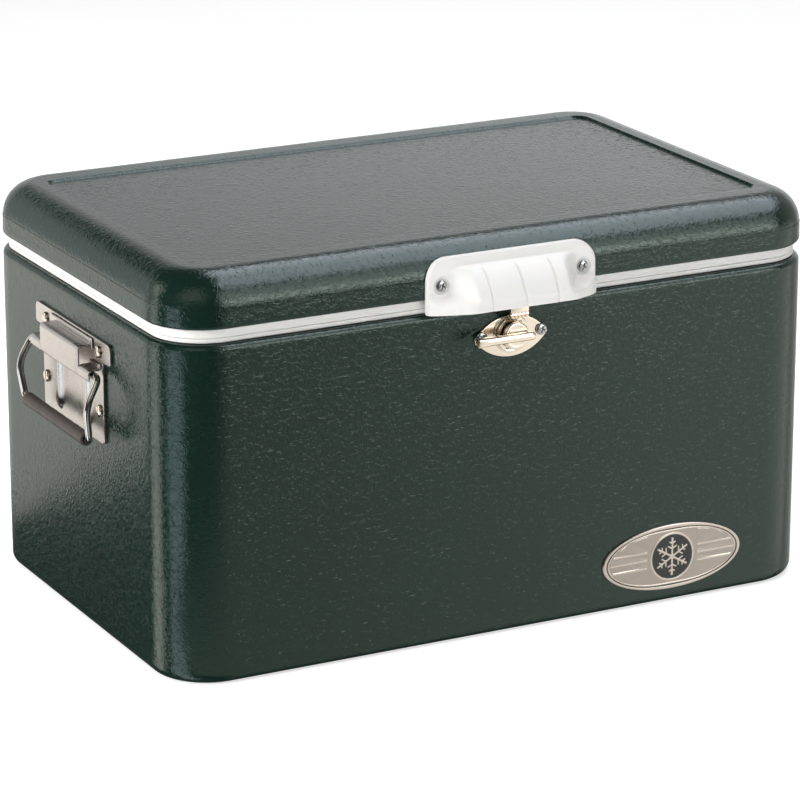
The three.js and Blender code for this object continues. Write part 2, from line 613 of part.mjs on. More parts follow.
function drainNut() {
  const { tube, y, z } = DRAIN;
  const { radius, from, to } = NUT;
  const corners = [0, 1, 2, 3, 4, 5].map((i) => (i * Math.PI) / 3);
  const hexagon = polygon(corners.map((a) => [y + radius * Math.cos(a), z + radius * Math.sin(a)]));
  return offWall(hexagon, from, to).subtract(rod(tube + 0.3, -45, 0, y, z));
}

function drainWasher() {
  const from = DRAIN.to + GAP;
  const to = from + CAP.washer;
  const outer = DRAIN.neck - 0.2;
  const inner = 2.5;
  return turned([[inner, from], [outer, from], [outer, to], [inner, to], [inner, from]], DRAIN.y, DRAIN.z);
}

function drainCap() {
  const { from, to, outer, washer, ribs, ripple } = CAP;
  const knurl = [...Array(ribs * 4).keys()].map((i) => {
    const angle = (i * 2 * Math.PI) / (ribs * 4);
    const radius = outer + ripple * Math.cos(ribs * angle);
    return [DRAIN.y + radius * Math.cos(angle), DRAIN.z + radius * Math.sin(angle)];
  });
  const cup = offWall(polygon(knurl), from, to);
  const roof = DRAIN.to + washer + 2 * GAP;
  return cup.subtract(rod(DRAIN.neck + 0.4, from - 1, roof, DRAIN.y, DRAIN.z));
}

// ---- Assembly ----------------------------------------------------------------------------------
const chest = new THREE.Group();
const wallGroups = Object.fromEntries(
  Object.entries(WALLS).map(([name, wall]) => {
    const group = new THREE.Group();
    group.position.set(wall.x, wall.y, 0);
    group.rotation.z = wall.turn;
    chest.add(group);
    return [name, group];
  }),
);

function add(name, body, material, parent = chest) {
  const mesh = new THREE.Mesh(geometryOf(body), material());
  mesh.name = name;
  parent.add(mesh);
}

function addBody() {
  add("outer_shell", outerShell(), enamel);
  add("base_pan", basePan(), enamel);
  add("body_foam", bodyFoam(), foamFill);
  add("inner_liner", innerLiner(), whitePlastic);
  add("front_badge", frontBadge(), pewter, wallGroups.front);
}

function addLatch() {
  const seat = GAP + LATCH.thickness + GAP;
  add("latch_plate", latchPlate(), nickel, wallGroups.front);
  add("latch_boss", latchBoss(), nickel, wallGroups.front);
  add("latch_knob", latchKnob(), nickel, wallGroups.front);
  for (const [side, y] of [["left", -LATCH.screwAt], ["right", LATCH.screwAt]])
    add(`latch_screw_${side}`, screw(PAN_SCREW, seat, y, LATCH_Z, true), nickel, wallGroups.front);
}

function addLid() {
  add("lid_skin", lidSkin(), enamel);
  add("lid_foam", lidFoam(), foamFill);
  add("lid_liner", lidLiner(), whitePlastic);
  add("lid_gasket", lidGasket(), sealVinyl);
  add("lid_handle", lidHandle(), whitePlastic, wallGroups.front);
  add("keeper_strap", keeperStrap(), nickel, wallGroups.front);
  const seat = HANDLE.wall + GAP;
  for (const [side, y] of [["left", -HANDLE_SCREWS.at], ["right", HANDLE_SCREWS.at]]) {
    const driven = screw(PAN_SCREW, seat, y, HANDLE_SCREWS.z, true);
    add(`lid_handle_screw_${side}`, driven, nickel, wallGroups.front);
  }
}

function addEnd(end) {
  const wall = wallGroups[end];
  const seat = BRACKET.thickness + 2 * GAP;
  add(`${end}_bracket_plate`, bracketPlate(), stainless, wall);
  add(`${end}_bracket_hood`, bracketHood(), stainless, wall);
  BRACKET_SCREWS.forEach(([y, z], i) =>
    add(`${end}_bracket_screw_${i + 1}`, screw(DOME_SCREW, seat, y, z, false), stainless, wall));
  add(`${end}_bail_wire`, bailWire(), nickel, wall);
  add(`${end}_bail_grip`, bailGrip(), vinylGrip, wall);
}

function addHinge(side, centre) {
  const wall = wallGroups.rear;
  const seat = HINGE.leaf + 2 * GAP;
  add(`${side}_hinge_body_leaf`, hingeLeaf(centre, BODY_LEAF), stainless, wall);
  add(`${side}_hinge_lid_leaf`, hingeLeaf(centre, LID_LEAF), stainless, wall);
  add(`${side}_hinge_pin`, hingePin(centre), stainless, wall);
  for (const [row, leaf] of [["body", BODY_LEAF], ["lid", LID_LEAF]])
    HINGE.screws.forEach((y, i) => {
      const name = `${side}_hinge_${row}_screw_${i + 1}`;
      add(name, screw(HINGE_SCREW, seat, centre + y, leaf.screwZ, false), stainless, wall);
    });
}

function addDrain() {
  const wall = wallGroups.right;
  add("drain_spout", drainSpout(), whitePlastic, wall);
  add("drain_nut", drainNut(), whitePlastic, wall);
  add("drain_washer", drainWasher(), vinylGrip, wall);
  add("drain_cap", drainCap(), whitePlastic, wall);
}

addBody();
addLatch();
addLid();
addEnd("left");
addEnd("right");
addHinge("left", HINGE.at);
addHinge("right", -HINGE.at);
addDrain();

export default chest;
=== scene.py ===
"""Finished surfaces of a steel-clad ice chest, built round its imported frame.

Every shape is worked out in millimetres in the chest's own frame (origin at the centre of the
underside, +X to its right end, -Y to its front, +Z up) and put into a mesh in metres. Hardware is
drawn in a wall frame first: x out of the wall, y along it, z up.
"""
import logging
import math
from dataclasses import dataclass
from enum import Enum
from typing import Callable, Sequence

import bmesh
import bpy
import numpy as np
from numpy.typing import ArrayLike, NDArray
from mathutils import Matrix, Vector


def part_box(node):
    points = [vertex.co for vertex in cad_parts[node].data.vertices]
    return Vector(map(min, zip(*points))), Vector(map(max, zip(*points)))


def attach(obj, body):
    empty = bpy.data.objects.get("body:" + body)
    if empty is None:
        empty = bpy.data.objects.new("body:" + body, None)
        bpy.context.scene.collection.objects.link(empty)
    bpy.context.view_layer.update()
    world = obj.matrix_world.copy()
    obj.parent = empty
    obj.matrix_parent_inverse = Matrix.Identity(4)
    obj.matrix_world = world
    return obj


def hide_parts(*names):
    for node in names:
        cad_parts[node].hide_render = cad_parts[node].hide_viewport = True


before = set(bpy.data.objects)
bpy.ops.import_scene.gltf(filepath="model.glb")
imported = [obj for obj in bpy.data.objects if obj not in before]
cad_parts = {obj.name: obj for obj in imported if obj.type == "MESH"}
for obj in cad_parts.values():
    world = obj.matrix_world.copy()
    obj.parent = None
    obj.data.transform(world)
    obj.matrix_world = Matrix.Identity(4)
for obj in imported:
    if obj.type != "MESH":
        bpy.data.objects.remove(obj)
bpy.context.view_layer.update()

LOG = logging.getLogger("ice_chest")
MM = 0.001
GAP = 0.3
Array = NDArray[np.float64]


# ---- Measures and walls ----
def corners(node: str) -> tuple[Array, Array]:
    """Reads where a CAD node lies.

    Args:
        node: the node's name.

    Returns:
        Its lowest and highest corners, in millimetres.
    """
    low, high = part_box(node)
    return np.array(low) / MM, np.array(high) / MM


class Wall(Enum):
    """The chest's four upright walls, each with the turn that takes the wall frame to it."""

    FRONT = -90
    REAR = 90
    LEFT = 180
    RIGHT = 0

    @property
    def face(self) -> float:
        """How far the wall's outside stands from the origin, in millimetres."""
        axis = 1 if self in (Wall.FRONT, Wall.REAR) else 0
        return float(corners("outer_shell")[1][axis])

    def place(self, points: Array) -> Array:
        """Takes points from the wall frame to the chest's frame.

        Args:
            points: an array whose last axis is x out of the wall, y along it, z up.

        Returns:
            The same points turned about the vertical and moved out to the wall.
        """
        turn = math.radians(self.value)
        out, along = points[..., 0] + self.face, points[..., 1]
        x = out * math.cos(turn) - along * math.sin(turn)
        y = out * math.sin(turn) + along * math.cos(turn)
        return np.stack([x, y, points[..., 2]], axis=-1)

    def local(self, node: str) -> tuple[Array, Array]:
        """Reads where a CAD node lies in this wall's frame.

        Args:
            node: the node's name.

        Returns:
            Its lowest and highest corners in the wall frame, in millimetres.
        """
        low, high = corners(node)
        turn = -math.radians(self.value)
        both = np.stack([low, high])
        x = both[:, 0] * math.cos(turn) - both[:, 1] * math.sin(turn) - self.face
        y = both[:, 0] * math.sin(turn) + both[:, 1] * math.cos(turn)
        points = np.stack([x, y, both[:, 2]], axis=-1)
        return points.min(0), points.max(0)


# ---- Curves ----
def ease(t: ArrayLike) -> Array:
    """A smooth step: 0 below 0, 1 above 1, and 3t^2 - 2t^3 between."""
    t = np.clip(t, 0.0, 1.0)
    return t * t * (3.0 - 2.0 * t)


def arc(centre: Sequence[float], radius: float, start: float, end: float, steps: int) -> Array:
    """Points on a circle's arc.

    Args:
        centre: the circle's centre.
        radius: its radius.
        start: the first angle in degrees.
        end: the last angle in degrees.
        steps: how many chords the arc is drawn with.

    Returns:
        steps + 1 points, each the centre plus radius times (cos, sin) of an even run of angles.
    """
    angle = np.radians(np.linspace(start, end, steps + 1))
    return np.array(centre) + radius * np.stack([np.cos(angle), np.sin(angle)], axis=-1)


def bent(points: ArrayLike, radii: Sequence[float], steps: int = 6, closed: bool = False) -> Array:
    """A path through corner points whose corners are rounded.

    Each corner is replaced by the parabola that leaves one leg and joins the next at a given
    distance from the corner: (1-t)^2 A + 2t(1-t) B + t^2 C.

    Args:
        points: the corner points, in two or three dimensions.
        radii: the distance from each corner at which the rounding starts.
        steps: how many chords a rounding is drawn with.
        closed: whether the path runs back to its first point.

    Returns:
        The points of the rounded path.
    """
    p = np.array(points, float)
    before, after = np.roll(p, 1, axis=0), np.roll(p, -1, axis=0)
    r = np.array(radii, float)[:, None]
    into = (before - p) / np.maximum(np.linalg.norm(before - p, axis=1, keepdims=True), 1e-9)
    out = (after - p) / np.maximum(np.linalg.norm(after - p, axis=1, keepdims=True), 1e-9)
    t = np.linspace(0.0, 1.0, steps + 1)[None, :, None]
    a, b, c = (p + r * into)[:, None], p[:, None], (p + r * out)[:, None]
    curve = (1 - t) ** 2 * a + 2 * t * (1 - t) * b + t**2 * c
    if closed:
        return curve.reshape(-1, p.shape[1])
    return np.vstack([p[:1], curve[1:-1].reshape(-1, p.shape[1]), p[-1:]])


def resampled(path: Array, spacing: float) -> Array:
    """Spreads points evenly along a path, by its running length.

    Args:
        path: the points, in order.
        spacing: the longest gap wanted between two of them.

    Returns:
        the points, evenly spread.
    """
    run = np.concatenate([[0.0], np.cumsum(np.linalg.norm(np.diff(path, axis=0), axis=1))])
    even = np.linspace(0.0, run[-1], max(int(run[-1] / spacing), 2) + 1)
    return np.stack([np.interp(even, run, path[:, k]) for k in range(path.shape[1])], axis=-1)


@dataclass(frozen=True)
class Outline:
    """A rounded rectangle's outline, ready to be drawn at any size.

    Point u of the outline is the corner's centre, (side_x, side_y) times the half size less the
    radius, plus the radius times the outward unit vector (out_x, out_y). Along a straight stretch
    the centre slides from one corner to the next and the unit vector stands still.
    """

    side_x: Array
    side_y: Array
    out_x: Array
    out_y: Array

    @classmethod
    def drawn(cls, arc_steps: int, along_x: int, along_y: int) -> "Outline":
        """Draws the outline with that many chords on each corner and each straight stretch.

        Args:
            arc_steps: chords on each corner.
            along_x: chords on each side that runs along x.
            along_y: chords on each side that runs along y.

        Returns:
            the outline.
        """
        sides = np.array([[1, 1], [-1, 1], [-1, -1], [1, -1]], float)
        runs = [along_x, along_y, along_x, along_y]
        centre, out = [], []
        for k in range(4):
            turn = arc((0, 0), 1.0, 90 * k, 90 * (k + 1), arc_steps)
            slide = np.linspace(0.0, 1.0, runs[k] + 1)[1:-1, None]
            centre += [np.repeat(sides[k : k + 1], arc_steps + 1, axis=0)]
            centre += [sides[k] + slide * (sides[(k + 1) % 4] - sides[k])]
            out += [turn, np.repeat(turn[-1:], runs[k] - 1, axis=0)]
        c, n = np.vstack(centre), np.vstack(out)
        return cls(c[:, 0], c[:, 1], n[:, 0], n[:, 1])

    def carried(self, half_x: ArrayLike, half_y: ArrayLike, radius: ArrayLike, z: ArrayLike) -> Array:
        """Carries a profile round the outline.

        Args:
            half_x: half the width of each ring.
            half_y: half the depth of each ring.
            radius: the corner radius of each ring.
            z: the height of each ring.

        Returns:
            A grid of points, outline by rings.
        """
        hx, hy, r, h = (np.asarray(v, float)[None, :] for v in (half_x, half_y, radius, z))
        x = self.side_x[:, None] * (hx - r) + r * self.out_x[:, None]
        y = self.side_y[:, None] * (hy - r) + r * self.out_y[:, None]
        return np.stack([x, y, np.broadcast_to(h, x.shape)], axis=-1)


# ---- Meshes ----
class Sheetwork:
    """Gathers surfaces worked out on grids, and makes them into one mesh object."""

    def __init__(self, wall: Wall | None = None) -> None:
        """Starts an empty piece, drawn in a wall's frame or, without one, in the chest's.

        Args:
            wall: the wall whose frame the piece is drawn in.
        """
        self.wall = wall
        self.points: list[Array] = []
        self.faces: list[list[int]] = []
        self.values: list[Array] = []
        self.count = 0

    def _take(self, points: Array, value: Array | None) -> int:
        """Adds points, and the value that each of them holds, and returns the first one's number.

        Args:
            points: the points, in millimetres.
            value: the value at each, or None.

        Returns:
            the number of the first point added.
        """
        first = self.count
        flat = points.reshape(-1, 3)
        self.points.append(self.wall.place(flat) if self.wall else flat)
        self.values.append(np.zeros(len(flat)) if value is None else value.ravel())
        self.count += len(flat)
        return first

    def grid(
        self,
        surface: Array,
        wrap_u: bool = False,
        wrap_v: bool = False,
        poles: tuple[Array | None, Array | None] = (None, None),
        value: Array | None = None,
    ) -> "Sheetwork":
        """Adds a surface worked out on a grid, with a quad between each four neighbours.

        Args:
            surface: the grid's points, u by v by 3.
            wrap_u: whether the last row joins the first.
            wrap_v: whether the last column joins the first.
            poles: points that close the first and the last column with a fan.
            value: one number for each point, kept as the mesh's attribute.

        Returns:
            The piece itself.
        """
        rows, columns = surface.shape[:2]
        first = self._take(surface, value)
        number = first + np.arange(rows * columns).reshape(rows, columns)
        if wrap_u:
            number = np.vstack([number, number[:1]])
        if wrap_v:
            number = np.hstack([number, number[:, :1]])
        a, b, c, d = number[:-1, :-1], number[1:, :-1], number[1:, 1:], number[:-1, 1:]
        self.faces += np.stack([a, b, c, d], axis=-1).reshape(-1, 4).tolist()
        for pole, column in zip(poles, (0, -1)):
            if pole is None:
                continue
            tip = self._take(np.asarray(pole, float), None)
            ring = number[:, column]
            fan = np.stack([ring[:-1], ring[1:], np.full(len(ring) - 1, tip)], axis=-1)
            self.faces += fan.tolist()
        return self

    def strip(self, mid: Array, half: Array, stations: Array, swell: Array) -> "Sheetwork":
        """Adds bent sheet metal: a section in the wall's x-z plane carried along y.

        A point lies half times swell off the section's middle line, to one side and back on the
        other, so both the section's ends and the sheet's sides can be thinned to a rounded edge.

        Args:
            mid: the section's middle line, points in x and z.
            half: half the sheet's thickness at each point of the line.
            stations: the places along y.
            swell: the share of the thickness at each station.

        Returns:
            The piece itself.
        """
        slope = np.gradient(mid, axis=0)
        slope /= np.linalg.norm(slope, axis=1, keepdims=True)
        side = np.stack([-slope[:, 1], slope[:, 0]], axis=-1) * half[:, None]
        loop_mid, loop_side = np.vstack([mid, mid[::-1]]), np.vstack([side, -side[::-1]])
        section = loop_mid[None] + swell[:, None, None] * loop_side[None]
        y = np.broadcast_to(stations[:, None], section.shape[:2])
        surface = np.stack([section[..., 0], y, section[..., 1]], axis=-1)
        first = self.count
        self.grid(surface, wrap_v=True)
        n, total = len(mid), 2 * len(mid)
        i = np.arange(n - 1)
        for row in (0, len(stations) - 1):
            base = first + row * total
            cap = np.stack([base + i, base + i + 1, base + total - 2 - i, base + total - 1 - i], axis=-1)
            self.faces += cap.tolist()
        return self

    def turned(
        self,
        profile: Array,
        centre: Sequence[float],
        axis: str = "x",
        sides: int = 48,
        ripple: Callable[[Array], Array] | None = None,
    ) -> "Sheetwork":
        """Adds a surface of revolution: a profile of (radius, distance) turned about an axis.

        Args:
            profile: the profile; an end of radius 0 is closed at its pole, and otherwise the
                profile is closed on itself.
            centre: where the axis passes, as (x, y, z) with the distance added along the axis.
            axis: x, out of the wall, or y, along it.
            sides: the number of steps round.
            ripple: a function of the angle that the radius is multiplied by.

        Returns:
            The piece itself.
        """
        angle = np.linspace(0.0, 2 * math.pi, sides, endpoint=False)
        wave = np.ones_like(angle) if ripple is None else ripple(angle)
        poled = profile[0, 0] < 1e-6
        body = profile[1:-1] if poled else profile
        radius = body[None, :, 0] * wave[:, None]
        run = np.broadcast_to(body[None, :, 1], radius.shape)
        flat = [radius * np.cos(angle)[:, None], radius * np.sin(angle)[:, None]]
        order = [run, *flat] if axis == "x" else [flat[0], run, flat[1]]
        surface = np.stack(order, axis=-1) + np.array(centre, float)
        step = np.array([1.0, 0.0, 0.0] if axis == "x" else [0.0, 1.0, 0.0])
        ends = tuple(np.array(centre) + step * profile[k, 1] for k in (0, -1))
        return self.grid(surface, True, not poled, ends if poled else (None, None))

    def tube(self, path: Array, radius: float, sides: int = 20) -> "Sheetwork":
        """Adds a round wire: a circle carried square to a path, with domed ends.

        Args:
            path: the wire's centreline, never parallel to x.
            radius: the wire's radius.
            sides: the number of steps round.

        Returns:
            The piece itself.
        """
        tangent = np.gradient(path, axis=0)
        tangent /= np.linalg.norm(tangent, axis=1, keepdims=True)
        side = np.cross(tangent, [1.0, 0.0, 0.0])
        side /= np.linalg.norm(side, axis=1, keepdims=True)
        up = np.cross(side, tangent)
        angle = np.linspace(0.0, 2 * math.pi, sides, endpoint=False)
        dome = np.array([0.35, 0.75, 1.0])
        back = radius * np.array([0.55, 0.3, 0.0])
        size = np.concatenate([dome, np.ones(len(path) - 2), dome[::-1]])
        centre = np.vstack([path[0] - tangent[0] * back[:, None], path[1:-1],
                            path[-1] + tangent[-1] * back[::-1, None]])
        spread = np.concatenate([[0, 0, 0], np.arange(1, len(path) - 1), [len(path) - 1] * 3])
        circle = (np.cos(angle)[:, None, None] * side[spread] + np.sin(angle)[:, None, None] * up[spread])
        surface = centre[None] + radius * size[None, :, None] * circle
        tips = (path[0] - tangent[0] * radius * 0.6, path[-1] + tangent[-1] * radius * 0.6)
        return self.grid(surface, wrap_u=True, poles=tips)

    def plate(self, outline: Array, centre: Sequence[float], low: float, high: float,
              edge: float) -> "Sheetwork":
        """Adds a flat plate on the wall, cut to an outline that its centre can see all of.

        The rings step from the back's centre out to the edge, up it, over a rounded corner and in
        over the front: a ring is the centre plus a share of the way to the outline, less the
        rounding's inset.

        Args:
            outline: closed outline, points in y and z.
            centre: the point that the rings close on, in y and z.
            low: how far the back stands off the wall.
            high: how far the front stands off the wall.
            edge: radius of the front's rounded edge.

        Returns:
            The piece itself.
        """
        c = np.array(centre, float)
        reach = np.linalg.norm(outline - c, axis=1)
        out = (outline - c) / reach[:, None]
        turn = np.radians(np.linspace(0.0, 90.0, 5))
        inset = np.concatenate([[6.0, 0.0], edge * (1 - np.cos(turn)), [edge + 1.0, edge + 4.0]])
        rise = np.concatenate([[low, low], high - edge + edge * np.sin(turn), [high, high]])
        far = np.maximum(reach[:, None] - inset[None], 0.4 * reach[:, None])
        flat = c + out[:, None] * far[..., None]
        surface = np.dstack([np.broadcast_to(rise, far.shape), flat[..., 0], flat[..., 1]])
        tips = (np.array([low, *c]), np.array([high, *c]))
        return self.grid(surface, wrap_u=True, poles=tips)

    def made(self, name: str, sharp: float = 40.0, attribute: str | None = None) -> bpy.types.Object:
        """Makes the gathered surfaces into one object at the origin.

        Args:
            name: the piece's name.
            sharp: faces that meet at more than this many degrees keep a crisp edge.
            attribute: the name under which the points' values are kept.

        Returns:
            The object, with its faces pointing out.
        """
        mesh = bpy.data.meshes.new(name)
        mesh.from_pydata((np.vstack(self.points) * MM).tolist(), [], self.faces)
        if attribute:
            layer = mesh.attributes.new(attribute, "FLOAT", "POINT")
            layer.data.foreach_set("value", np.concatenate(self.values).astype(np.float32))
        body = bmesh.new()
        body.from_mesh(mesh)
        bmesh.ops.remove_doubles(body, verts=body.verts, dist=1e-7)
        bmesh.ops.recalc_face_normals(body, faces=body.faces)
        body.to_mesh(mesh)
        body.free()
        mesh.shade_smooth()
        mesh.set_sharp_from_angle(angle=math.radians(sharp))
        made = bpy.data.objects.new(name, mesh)
        bpy.context.scene.collection.objects.link(made)
        return made


def edges(low: float, high: float, soft: float, middle: int = 2) -> tuple[Array, Array]:
    """Stations along y for a strip, thinned at both ends to a rounded edge.

    Args:
        low: the first station.
        high: the last station.
        soft: how far the rounding runs in from each end.
        middle: how many steps the even stretch has.

    Returns:
        The stations, and the share of the thickness at each: the height of a quarter circle.
    """
    t = np.array([0.0, 0.15, 0.4, 0.7, 1.0])
    round_off = np.sqrt(np.maximum(1 - (1 - t) ** 2, 0.09))
    inner = np.linspace(low + soft, high - soft, middle + 1)[1:-1]
    y = np.concatenate([low + soft * t, inner, high - soft * t[::-1]])
    return y, np.concatenate([round_off, np.ones(len(inner)), round_off[::-1]])


def thinned(count: int, half: float) -> Array:
    """Half thicknesses along a strip's section, rounded off at its first and last points.

    Args:
        count: how many points the section has.
        half: the half thickness away from the ends.

    Returns:
        a half thickness for each point.
    """
    share = np.ones(count)
    share[[0, -1]] = 0.35
    share[[1, -2]] = 0.85
    return half * share


# ---- Finishes ----
def linear(code: str) -> tuple[float, float, float, float]:
    """Turns an sRGB hex colour to the linear values that a shader takes.

    Args:
        code: the colour, such as "#1f332e".

    Returns:
        Red, green, blue and an alpha of 1.
    """
    srgb = np.array([int(code[i : i + 2], 16) for i in (1, 3, 5)]) / 255.0
    low, high = srgb / 12.92, ((srgb + 0.055) / 1.055) ** 2.4
    return (*np.where(srgb <= 0.04045, low, high).tolist(), 1.0)


def add(tree: bpy.types.NodeTree, kind: str, sockets: dict, **settings: object) -> bpy.types.Node:
    """Adds a shader node.

    Args:
        tree: the material's or the world's node tree.
        kind: the node's type.
        sockets: what goes into each input: a value, or another node's output to link.
        settings: the node's own settings.

    Returns:
        The new node.
    """
    node = tree.nodes.new(kind)
    for key, value in settings.items():
        setattr(node, key, value)
    for key, value in sockets.items():
        if isinstance(value, bpy.types.NodeSocket):
            tree.links.new(value, node.inputs[key])
        else:
            node.inputs[key].default_value = value
    return node


@dataclass(frozen=True)
class Finish:
    """A surface finish: a real material, and how its surface was made."""

    name: str
    slot: str

    def shade(self, tree: bpy.types.NodeTree) -> bpy.types.Node:
        """Builds the finish's nodes and returns the shader."""
        raise NotImplementedError

    def material(self) -> bpy.types.Material:
        """Returns the finish's material, made on its first use.

        Returns:
            the material.
        """
        known = bpy.data.materials.get(self.name)
        if known:
            return known
        made = bpy.data.materials.new(self.name)
        made.use_nodes = True
        tree = made.node_tree
        tree.nodes.clear()
        shader = self.shade(tree)
        add(tree, "ShaderNodeOutputMaterial", {"Surface": shader.outputs[0]})
        return made


def per_metre(size_mm: float) -> float:
    """The scale of a pattern on Object coordinates whose features are that many millimetres."""
    return 1.0 / (size_mm * MM)


@dataclass(frozen=True)
class PebbledEnamel(Finish):
    """Baked gloss enamel on sheet steel that was rolled with a leather grain.

    Shallow wrinkles and pillows two to four millimetres across break each reflection into short
    wavy glints; under the gloss the colour is a very deep blue-green.
    """

    colour: str = "#122620"
    shade_colour: str = "#0f201b"
    gloss_colour: str = "#e4f6ec"
    wrinkle_mm: float = 4.4
    pillow_mm: float = 2.8
    relief_mm: float = 0.54

    def shade(self, tree: bpy.types.NodeTree) -> bpy.types.Node:
        """Creases of a warped noise make the wrinkles, cells the pillows; slow noise varies the gloss.

        Args:
            tree: the node tree to build in.

        Returns:
            the finish's shader node.
        """
        place = add(tree, "ShaderNodeTexCoord", {}).outputs["Object"]
        stretched = add(tree, "ShaderNodeMapping", {"Vector": place, "Scale": (0.85, 0.85, 1.1)})
        warped = add(tree, "ShaderNodeTexNoise", {
            "Vector": stretched.outputs[0], "Scale": per_metre(self.wrinkle_mm), "Detail": 2.0,
            "Roughness": 0.5, "Distortion": 1.1})
        centred = add(tree, "ShaderNodeMath", {0: warped.outputs["Fac"], 1: 0.5}, operation="SUBTRACT")
        crease = add(tree, "ShaderNodeMath", {0: centred.outputs[0]}, operation="ABSOLUTE")
        cells = add(tree, "ShaderNodeTexVoronoi", {
            "Vector": stretched.outputs[0], "Scale": per_metre(self.pillow_mm), "Smoothness": 0.6},
            feature="SMOOTH_F1")
        mixed = add(tree, "ShaderNodeMath", {
            0: cells.outputs["Distance"], 1: -0.1, 2: crease.outputs[0]}, operation="MULTIPLY_ADD")
        grained = add(tree, "ShaderNodeBump", {
            "Height": mixed.outputs[0], "Strength": 1.0, "Distance": self.relief_mm * MM})
        slow = add(tree, "ShaderNodeTexNoise", {"Vector": place, "Scale": per_metre(120.0), "Detail": 3.0})
        tone = add(tree, "ShaderNodeMixRGB", {
            "Fac": slow.outputs["Fac"], "Color1": linear(self.colour), "Color2": linear(self.shade_colour)})
        gloss = add(tree, "ShaderNodeMapRange", {
            "Value": slow.outputs["Fac"], "To Min": 0.09, "To Max": 0.16})
        return add(tree, "ShaderNodeBsdfPrincipled", {
            "Base Color": tone.outputs[0], "Roughness": gloss.outputs[0], "Normal": grained.outputs[0],
            "IOR": 1.5, "Specular Tint": linear(self.gloss_colour)})


@dataclass(frozen=True)
class MouldedPlastic(Finish):
    """Polyethylene or polypropylene, injection moulded in a finely eroded die.

    It looks soft and chalky, with a broad sheen on its curves and a faint depth of its own.
    """

    colour: str = "#efeeea"
    roughness: float = 0.38
    grain_mm: float = 0.6

    def shade(self, tree: bpy.types.NodeTree) -> bpy.types.Node:
        """Fine noise stands for the die's grain, and slow noise for handling marks.

        Args:
            tree: the node tree to build in.

        Returns:
            the finish's shader node.
        """
        place = add(tree, "ShaderNodeTexCoord", {}).outputs["Object"]
        fine = add(tree, "ShaderNodeTexNoise", {"Vector": place, "Scale": per_metre(self.grain_mm),
                                                "Detail": 2.0})
        bump = add(tree, "ShaderNodeBump", {
            "Height": fine.outputs["Fac"], "Strength": 0.12, "Distance": 0.02 * MM})
        slow = add(tree, "ShaderNodeTexNoise", {"Vector": place, "Scale": per_metre(40.0), "Detail": 4.0})
        gloss = add(tree, "ShaderNodeMapRange", {
            "Value": slow.outputs["Fac"], "To Min": self.roughness - 0.05, "To Max": self.roughness + 0.08})
        return add(tree, "ShaderNodeBsdfPrincipled", {
            "Base Color": linear(self.colour), "Roughness": gloss.outputs[0], "Normal": bump.outputs[0],
            "IOR": 1.5, "Subsurface Weight": 0.05, "Subsurface Scale": 0.001})


@dataclass(frozen=True)
class PolishedPlate(Finish):
    """Nickel plate over polished steel.

    A warm, bright mirror that hairline scratches blur a little along the part.
    """

    colour: str = "#eadfce"
    roughness: float = 0.16

    def shade(self, tree: bpy.types.NodeTree) -> bpy.types.Node:
        """Stretched noise draws the hairlines, and slow noise the handling haze.

        Args:
            tree: the node tree to build in.

        Returns:
            the finish's shader node.
        """
        place = add(tree, "ShaderNodeTexCoord", {}).outputs["Object"]
        along = add(tree, "ShaderNodeMapping", {"Vector": place, "Scale": (0.12, 0.12, 1.0)})
        hair = add(tree, "ShaderNodeTexNoise", {
            "Vector": along.outputs[0], "Scale": per_metre(0.35), "Detail": 3.0})
        haze = add(tree, "ShaderNodeTexNoise", {"Vector": place, "Scale": per_metre(6.0), "Detail": 4.0})
        bump = add(tree, "ShaderNodeBump", {
            "Height": hair.outputs["Fac"], "Strength": 0.1, "Distance": 0.01 * MM})
        gloss = add(tree, "ShaderNodeMapRange", {
            "Value": haze.outputs["Fac"], "To Min": self.roughness - 0.06, "To Max": self.roughness + 0.08})
        return add(tree, "ShaderNodeBsdfPrincipled", {
            "Base Color": linear(self.colour), "Metallic": 1.0, "Roughness": gloss.outputs[0],
            "Normal": bump.outputs[0]})


@dataclass(frozen=True)
class SatinSheet(Finish):
    """Cold-rolled stainless sheet with its mill's satin finish.

    Even, silky grey: highlights spread into soft bands, with faint rolling lines.
    """

    colour: str = "#cfc9c4"
    roughness: float = 0.27

    def shade(self, tree: bpy.types.NodeTree) -> bpy.types.Node:
        """Noise drawn out along the rolling direction makes the lines.

        Args:
            tree: the node tree to build in.

        Returns:
            the finish's shader node.
        """
        place = add(tree, "ShaderNodeTexCoord", {}).outputs["Object"]
        rolled = add(tree, "ShaderNodeMapping", {"Vector": place, "Scale": (0.06, 0.06, 1.0)})
        lines = add(tree, "ShaderNodeTexNoise", {
            "Vector": rolled.outputs[0], "Scale": per_metre(0.4), "Detail": 4.0, "Roughness": 0.6})
        bump = add(tree, "ShaderNodeBump", {
            "Height": lines.outputs["Fac"], "Strength": 0.05, "Distance": 0.008 * MM})
        smear = add(tree, "ShaderNodeTexNoise", {"Vector": place, "Scale": per_metre(14.0), "Detail": 3.0})
        gloss = add(tree, "ShaderNodeMapRange", {
            "Value": smear.outputs["Fac"], "To Min": self.roughness - 0.06, "To Max": self.roughness + 0.08})
        return add(tree, "ShaderNodeBsdfPrincipled", {
            "Base Color": linear(self.colour), "Metallic": 1.0, "Roughness": gloss.outputs[0],
            "Normal": bump.outputs[0]})


